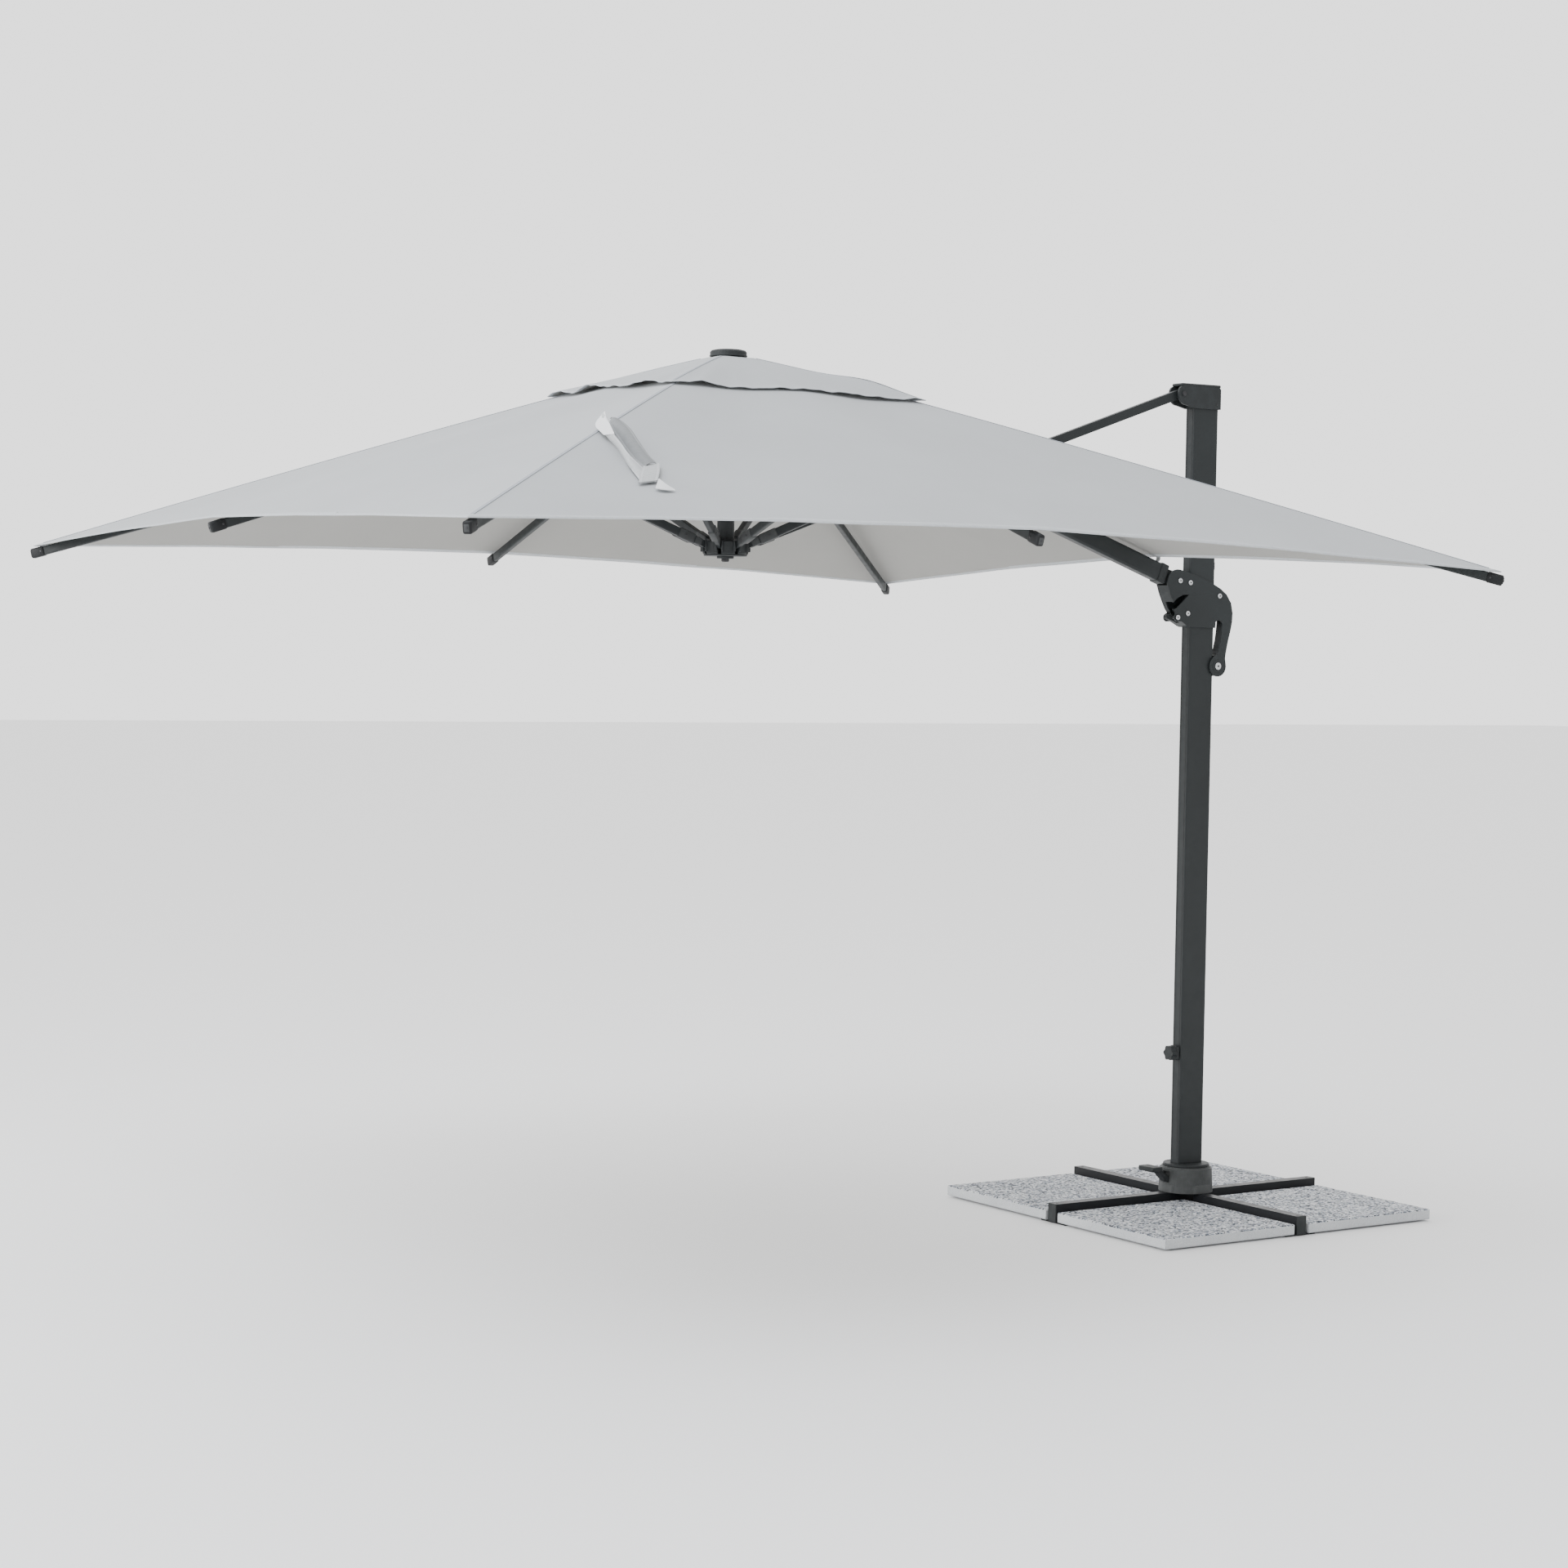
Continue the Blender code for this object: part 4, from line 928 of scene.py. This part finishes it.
def runner_details(mats):
    """Clevis ears round the runner, their pins, a rib ring and the nut on the spigot."""
    made = []
    for index in WORDS:
        out = outward(index)
        side = along_rib(index)
        for sign in (-1, 1):
            at = HUB + out * 0.0600 + side * sign * 0.0088 + UP * (RUNNER_HINGE_Z - 0.001)
            made.append(box_piece(f"ear_{index}_{sign}", (0.020, 0.0060, 0.031), frame_at(at, out, side),
                                  mats["plastic"], 0.0018, 2))
        made.append(disc_piece(f"runner_pin_{index}", 0.0026, 0.0270,
                               HUB + out * HINGE_R + UP * RUNNER_HINGE_Z, side, mats["steel"], 0.0006, 16))
    made += [hub_disc("runner_plate", 0.0610, 0.0050, 1.9664, mats["plastic"], 0.0018, 48),
             hub_disc("runner_boss", 0.0240, 0.0080, 1.9610, mats["plastic"], 0.0020, 36),
             hub_disc("spigot_nut", 0.0110, 0.0080, 1.9530, mats["dark_steel"], 0.0010, 6)]
    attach(join("runner_fittings", made), "runner")


def hub_disc(name, radius, length, z, mat, bevel, sides):
    return disc_piece(name, radius, length, HUB + UP * z, UP, mat, bevel, sides)


def hub_details(mats):
    """Pins and washer of the top hub, and the finial's rim, top and screw."""
    made = []
    for index in range(1, 8):
        out = outward(index)
        made.append(disc_piece(f"hub_pin_{index}", 0.0028, 0.0240, HUB + out * HINGE_R + UP * RIB_HINGE_Z,
                               along_rib(index), mats["steel"], 0.0006, 16))
    made.append(hub_disc("hub_washer", 0.0430, 0.0030, 2.4505, mats["plastic"], 0.0010, 48))
    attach(join("hub_fittings", made), "hub")
    cap = [hub_disc("finial_rim", 0.0530, 0.0050, 2.5213, mats["plastic"], 0.0018, 48),
           hub_disc("finial_top", 0.0400, 0.0030, 2.5370, mats["plastic"], 0.0012, 48),
           hub_disc("finial_screw", 0.0060, 0.0020, 2.5390, mats["dark_steel"], 0.0006, 6)]
    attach(join("finial_details", cap), "hub")


# ---------------------------------------------------------------- mast, slider and base details

def mast_details(mats):
    """Track grooves down the mast's narrow faces, drawn as thin strips of painted shade, the slider's stop,
    and the cap's top and screws.
    """
    low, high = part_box("mast_tube")
    tall = high.z - low.z - 0.060
    middle = (high.z + low.z) / 2 - 0.010
    made = []
    for y in (-0.0125, 0.0125):
        for x in (low.x - 0.0001, high.x + 0.0001):
            made.append(box_piece(f"groove_{x:.3f}_{y}", (0.0006, 0.0014, tall), upright(x, y, middle),
                                  mats["groove"], 0))
    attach(join("mast_grooves", made), "mast")

    stop = [box_piece("mast_stop", (0.0080, 0.0240, 0.0240), upright(high.x + 0.0035, 0, STOP_Z),
                      mats["plastic"], 0.0020, 3),
            disc_piece("mast_stop_screw", 0.0040, 0.0020, (high.x + 0.0080, 0, STOP_Z), (1, 0, 0),
                       mats["steel"], 0.0006, 20)]
    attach(join("slider_stop", stop), "mast")

    low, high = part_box("mast_cap")
    made = [box_piece("cap_roof", (high.x - low.x - 0.012, high.y - low.y, 0.0090),
                      upright((low.x + high.x) / 2 + 0.006, 0, high.z + 0.0030), mats["plastic"], 0.0040, 4)]
    for sign in (-1, 1):
        at = MAST_PIVOT + Vector((0, sign * (high.y + 0.0004), 0))
        made.append(disc_piece(f"cap_ring_{sign}", 0.0100, 0.0012, at, (0, 1, 0),
                               mats["plastic"], 0.0004, 32))
        made.append(disc_piece(f"cap_head_{sign}", 0.0072, 0.0024, at + Vector((0, sign * 0.0030, 0)),
                               (0, 1, 0), mats["dark_steel"], 0.0007, 28))
        made.append(disc_piece(f"cap_screw_{sign}", 0.0032, 0.0016, (0.036, at.y, 2.476), (0, 1, 0),
                               mats["dark_steel"], 0.0005, 18))
    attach(join("cap_fittings", made), "mast")


def slider_details(mats):
    """Washers on the slider's bolts, each with a small disc of painted shade at its centre."""
    face = -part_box("slider_cheek_near")[0].y
    bolts = ((-0.0920, 1.936), (-0.0530, 1.931), (0.0610, 1.893), (-0.0610, 1.837), (-0.0990, 1.824))
    made = []
    for sign in (-1, 1):
        for x, z in bolts:
            at = Vector((x, sign * (face + 0.0003), z))
            made.append(disc_piece(f"washer_{x}_{sign}", 0.0095, 0.0008, at, (0, 1, 0),
                                   mats["plastic"], 0.0003, 28))
            made.append(disc_piece(f"centre_{x}_{sign}", 0.0022, 0.0008, at + Vector((0, sign * 0.0034, 0)),
                                   (0, 1, 0), mats["groove"], 0, 14))
    handle = Vector((0.0600, -face - 0.0003, 1.6775))
    made.append(disc_piece("handle_ring", 0.0200, 0.0010, handle, (0, 1, 0), mats["plastic"], 0.0004, 36))
    made.append(disc_piece("handle_centre", 0.0030, 0.0008, handle - Vector((0, 0.0036, 0)), (0, 1, 0),
                           mats["groove"], 0, 16))
    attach(join("slider_bolt_marks", made), "slider")


def arm_loop(mats):
    """Webbing loop that holds the mast-side eave to the arm."""
    edge = surface(0, 1.0)
    left = [edge + Vector(step) for step in ((-0.012, -0.010, 0.002), (0.003, -0.010, 0.000),
                                             (0.006, -0.010, -0.008), (0.001, -0.010, -0.016))]
    right = [p + Vector((0, 0.020, 0)) for p in left]
    loop = ribbon("eave_loop", left, right, [mats["strap"]], rows=12, cells=3, thick=0.0014)
    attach(loop, "arm")


def drum_pad(name, middle, half, radius, low, high, proud, mat):
    """Raised panel on the round housing, its outline drawn in at the top like an arch."""
    verts = []
    steps = 16
    for i in range(steps + 1):
        side = -1 + 2 * i / steps
        angle = middle + half * side
        out = Vector((math.cos(angle), math.sin(angle), 0))
        top = high - 0.004 * side ** 4
        edge = 0.0 if abs(side) == 1 else 1.0
        for z, off in ((low, edge), (top - 0.003, edge), (top, 0.0), (top, -2.0), (low, -2.0)):
            verts.append(out * (radius(z) + proud * off) + UP * z)
    bm = bmesh.new()
    made = [bm.verts.new(v) for v in verts]
    for face in tube_faces(steps + 1, 5):
        bm.faces.new([made[i] for i in face])
    return finish_mesh(name, bm, mat)


def base_details(mats):
    """Arched panels over the bars on the turntable's housing, and the end screws of the bars."""
    turn = Matrix.Rotation(BASE_TURN, 4, "Z")
    made = []
    base_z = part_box("cross_bar_long")[1].z
    low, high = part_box("turntable_housing")
    taper = (HOUSING_LOW_R - HOUSING_TOP_R) / (high.z - low.z)

    def radius(z):
        return HOUSING_LOW_R - taper * (z - low.z)

    for quarter in range(4):
        middle = BASE_TURN + quarter * math.pi / 2
        made.append(drum_pad(f"arch_{quarter}", middle, math.radians(23), radius, low.z + 0.0005,
                             low.z + 0.0270, 0.0022, mats["housing"]))
    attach(join("turntable_arches", made), "base")

    screws = []
    for quarter in range(4):
        spin = turn @ Matrix.Rotation(quarter * math.pi / 2, 4, "Z")
        at = spin @ Vector((BAR_HALF - 0.016, 0, base_z))
        screws.append(disc_piece(f"bar_screw_{quarter}", 0.0042, 0.0016, at, UP,
                                 mats["dark_steel"], 0.0006, 20))
    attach(join("bar_screws", screws), "base")


# ---------------------------------------------------------------- CAD nodes

def dress_nodes(nodes, mats):
    """Materials for the CAD nodes, with their machined edges softened."""
    by_word = (("slab", "granite"), ("bolt_", "bolt"), ("cap_bolt", "bolt"), ("arm_pin", "steel"),
               ("hub_pin", "steel"), ("base_stub", "steel"), ("roller", "plastic_grey"),
               ("bar_cap", "plastic"), ("cross_bar", "frame_dark"), ("turntable", "housing"),
               ("foot_pedal", "plastic"), ("swivel_disc", "plastic"), ("knob_boss", "plastic"),
               ("clamp_knob", "plastic"), ("handle", "plastic"), ("front_shroud", "frame"),
               ("release_lever", "plastic"), ("arm_foot", "plastic"), ("arm_head", "plastic"),
               ("top_hub", "plastic"), ("runner", "plastic"), ("finial", "plastic"),
               ("mast_cap", "plastic"), ("slider_cheek", "frame"))
    for name, obj in nodes.items():
        kind = next((mat for word, mat in by_word if name.startswith(word)), "frame")
        obj.data.materials.clear()
        obj.data.materials.append(mats[kind])
        if name in SOFT_EDGES:
            soften(obj, SOFT_EDGES[name])


def soften(obj, width):
    weld = obj.modifiers.new("weld", "WELD")
    weld.merge_threshold = 0.00002
    edge = obj.modifiers.new("edge", "BEVEL")
    edge.width = width
    edge.segments = 3
    edge.limit_method = "ANGLE"
    edge.angle_limit = math.radians(40)
    edge.harden_normals = False
    for poly in obj.data.polygons:
        poly.use_smooth = True
    obj.modifiers.new("normals", "WEIGHTED_NORMAL")


# ---------------------------------------------------------------- studio

def make_studio():
    floor = object_from("floor", [(-60, -60, 0), (60, -60, 0), (60, 60, 0), (-60, 60, 0)], [(0, 1, 2, 3)],
                        [new_material("floor", (0.93, 0.93, 0.93), 0.9)], smooth=False)
    floor.location.z = -0.0005
    world = bpy.data.worlds.new("studio")
    world.use_nodes = True
    bpy.context.scene.world = world
    direction = add(world, "TexCoord").outputs["Generated"]
    side = add(world, "VectorMath", operation="DOT_PRODUCT")
    side.inputs[1].default_value = (-0.54, 0.70, 0.47)
    wire(world, (direction, side.inputs[0]))
    light = ramp(world, side.outputs["Value"], [(0.0, WORLD_DIM), (0.09, 1.0)])
    sky = world.node_tree.nodes["Background"]
    sky.inputs["Strength"].default_value = WORLD_LIGHT
    wire(world, (light, sky.inputs["Color"]))
    area_light("key", (-6.5, -3.0, 9.0), (-1.4, 0, 1.6), 5.0, KEY_LIGHT, (0.86, 0.91, 1.0))
    area_light("side", (-9.0, 1.0, 2.6), (0, 0, 1.0), 3.0, SIDE_LIGHT, (1.0, 1.0, 1.0))


def area_light(name, at, target, size, power, colour):
    data = bpy.data.lights.new(name, "AREA")
    data.shape = "DISK"
    data.size = size
    data.energy = power
    data.color = colour
    lamp = bpy.data.objects.new(name, data)
    lamp.location = at
    lamp.rotation_euler = (Vector(target) - Vector(at)).to_track_quat("-Z", "Y").to_euler()
    bpy.context.scene.collection.objects.link(lamp)


def make_camera():
    """A long lens from the near outer side, a little above the slider and looking slightly down."""
    azimuth = math.radians(-38.2333)
    distance = 9.8983
    yaw, pitch, roll = math.radians(7.3218), math.radians(-2.3269), math.radians(0.9391)
    turn = azimuth + yaw
    ahead = Vector((-math.sin(turn), math.cos(turn), 0)) * math.cos(pitch) + UP * math.sin(pitch)
    right = Vector((math.cos(turn), math.sin(turn), 0))
    above = right.cross(ahead)
    side = right * math.cos(roll) + above * math.sin(roll)
    over = above * math.cos(roll) - right * math.sin(roll)
    data = bpy.data.cameras.new("camera")
    data.sensor_width = 36.0
    data.lens = 73.322
    camera = bpy.data.objects.new("camera", data)
    at = Vector((math.sin(azimuth) * distance, -math.cos(azimuth) * distance, 1.6925))
    axes = Matrix((side, over, -ahead)).transposed().to_4x4()
    camera.matrix_world = Matrix.Translation(at) @ axes
    bpy.context.scene.collection.objects.link(camera)
    bpy.context.scene.camera = camera


# ---------------------------------------------------------------- everything

def make_materials():
    anthracite = (0.020, 0.0235, 0.0245)
    cloth = (0.50, 0.52, 0.535)
    return {
        "frame": powder_coat("anthracite_coat", anthracite),
        "frame_dark": powder_coat("base_coat", (0.008, 0.009, 0.011), 0.42),
        "plastic": moulded("moulded_plastic", (0.024, 0.027, 0.028)),
        "plastic_grey": moulded("moulded_grey", (0.050, 0.053, 0.054)),
        "cap": moulded("rib_cap_plastic", (0.010, 0.011, 0.012)),
        "housing": moulded("housing_plastic", (0.062, 0.066, 0.066)),
        "steel": bare_metal("pin_steel", (0.42, 0.43, 0.44), 0.38),
        "dark_steel": bare_metal("blackened_steel", (0.06, 0.06, 0.063), 0.45),
        "bolt": bare_metal("zinc_bolt", (0.62, 0.63, 0.64), 0.42),
        "groove": new_material("groove_shadow", (0.008, 0.009, 0.010), 0.7),
        "granite": granite("granite"),
        "cloth": woven("canopy_cloth", cloth, 0.16),
        # The underside is a darker, warmer copy of the cover cloth: painted shade.
        "cloth_under_shaded": woven("canopy_cloth_inside_shaded", (0.375, 0.370, 0.350), 0.17),
        "hem": stitched("hem_cloth", (0.47, 0.49, 0.505), (0.60, 0.61, 0.62), (0.80,)),
        # The seam tape is darker and bluer than the cover: painted shade along the ridges, also used on the
        # slit's binding.
        "seam": stitched("seam_cloth_shaded", (0.36, 0.385, 0.415), (0.50, 0.51, 0.53), (0.20, 0.80)),
        "strap": stitched("strap_cloth", (0.47, 0.485, 0.49), (0.62, 0.63, 0.64), (0.10, 0.90)),
        # The bowed leg is a darker copy of the strap cloth: painted shade on its inner face.
        "strap_shaded": stitched("strap_inner_shaded", (0.24, 0.25, 0.255), (0.40, 0.41, 0.42), (0.10, 0.90)),
        # The root and the point are drawn in a paler cloth.
        "strap_pale": woven("strap_pale_ends", (0.85, 0.86, 0.87), 0.10),
    }


def main():
    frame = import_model()
    mats = make_materials()
    dress_nodes(frame["nodes"], mats)
    make_canopy(mats)
    strap = make_strap(mats)
    arm_loop(mats)
    for index in range(8):
        if index:
            rib_tip_cap(index, mats)
        rib_bracket(index, mats)
        strut_sleeve(index, mats)
    runner_details(mats)
    hub_details(mats)
    mast_details(mats)
    slider_details(mats)
    base_details(mats)
    make_studio()
    make_camera()


main()
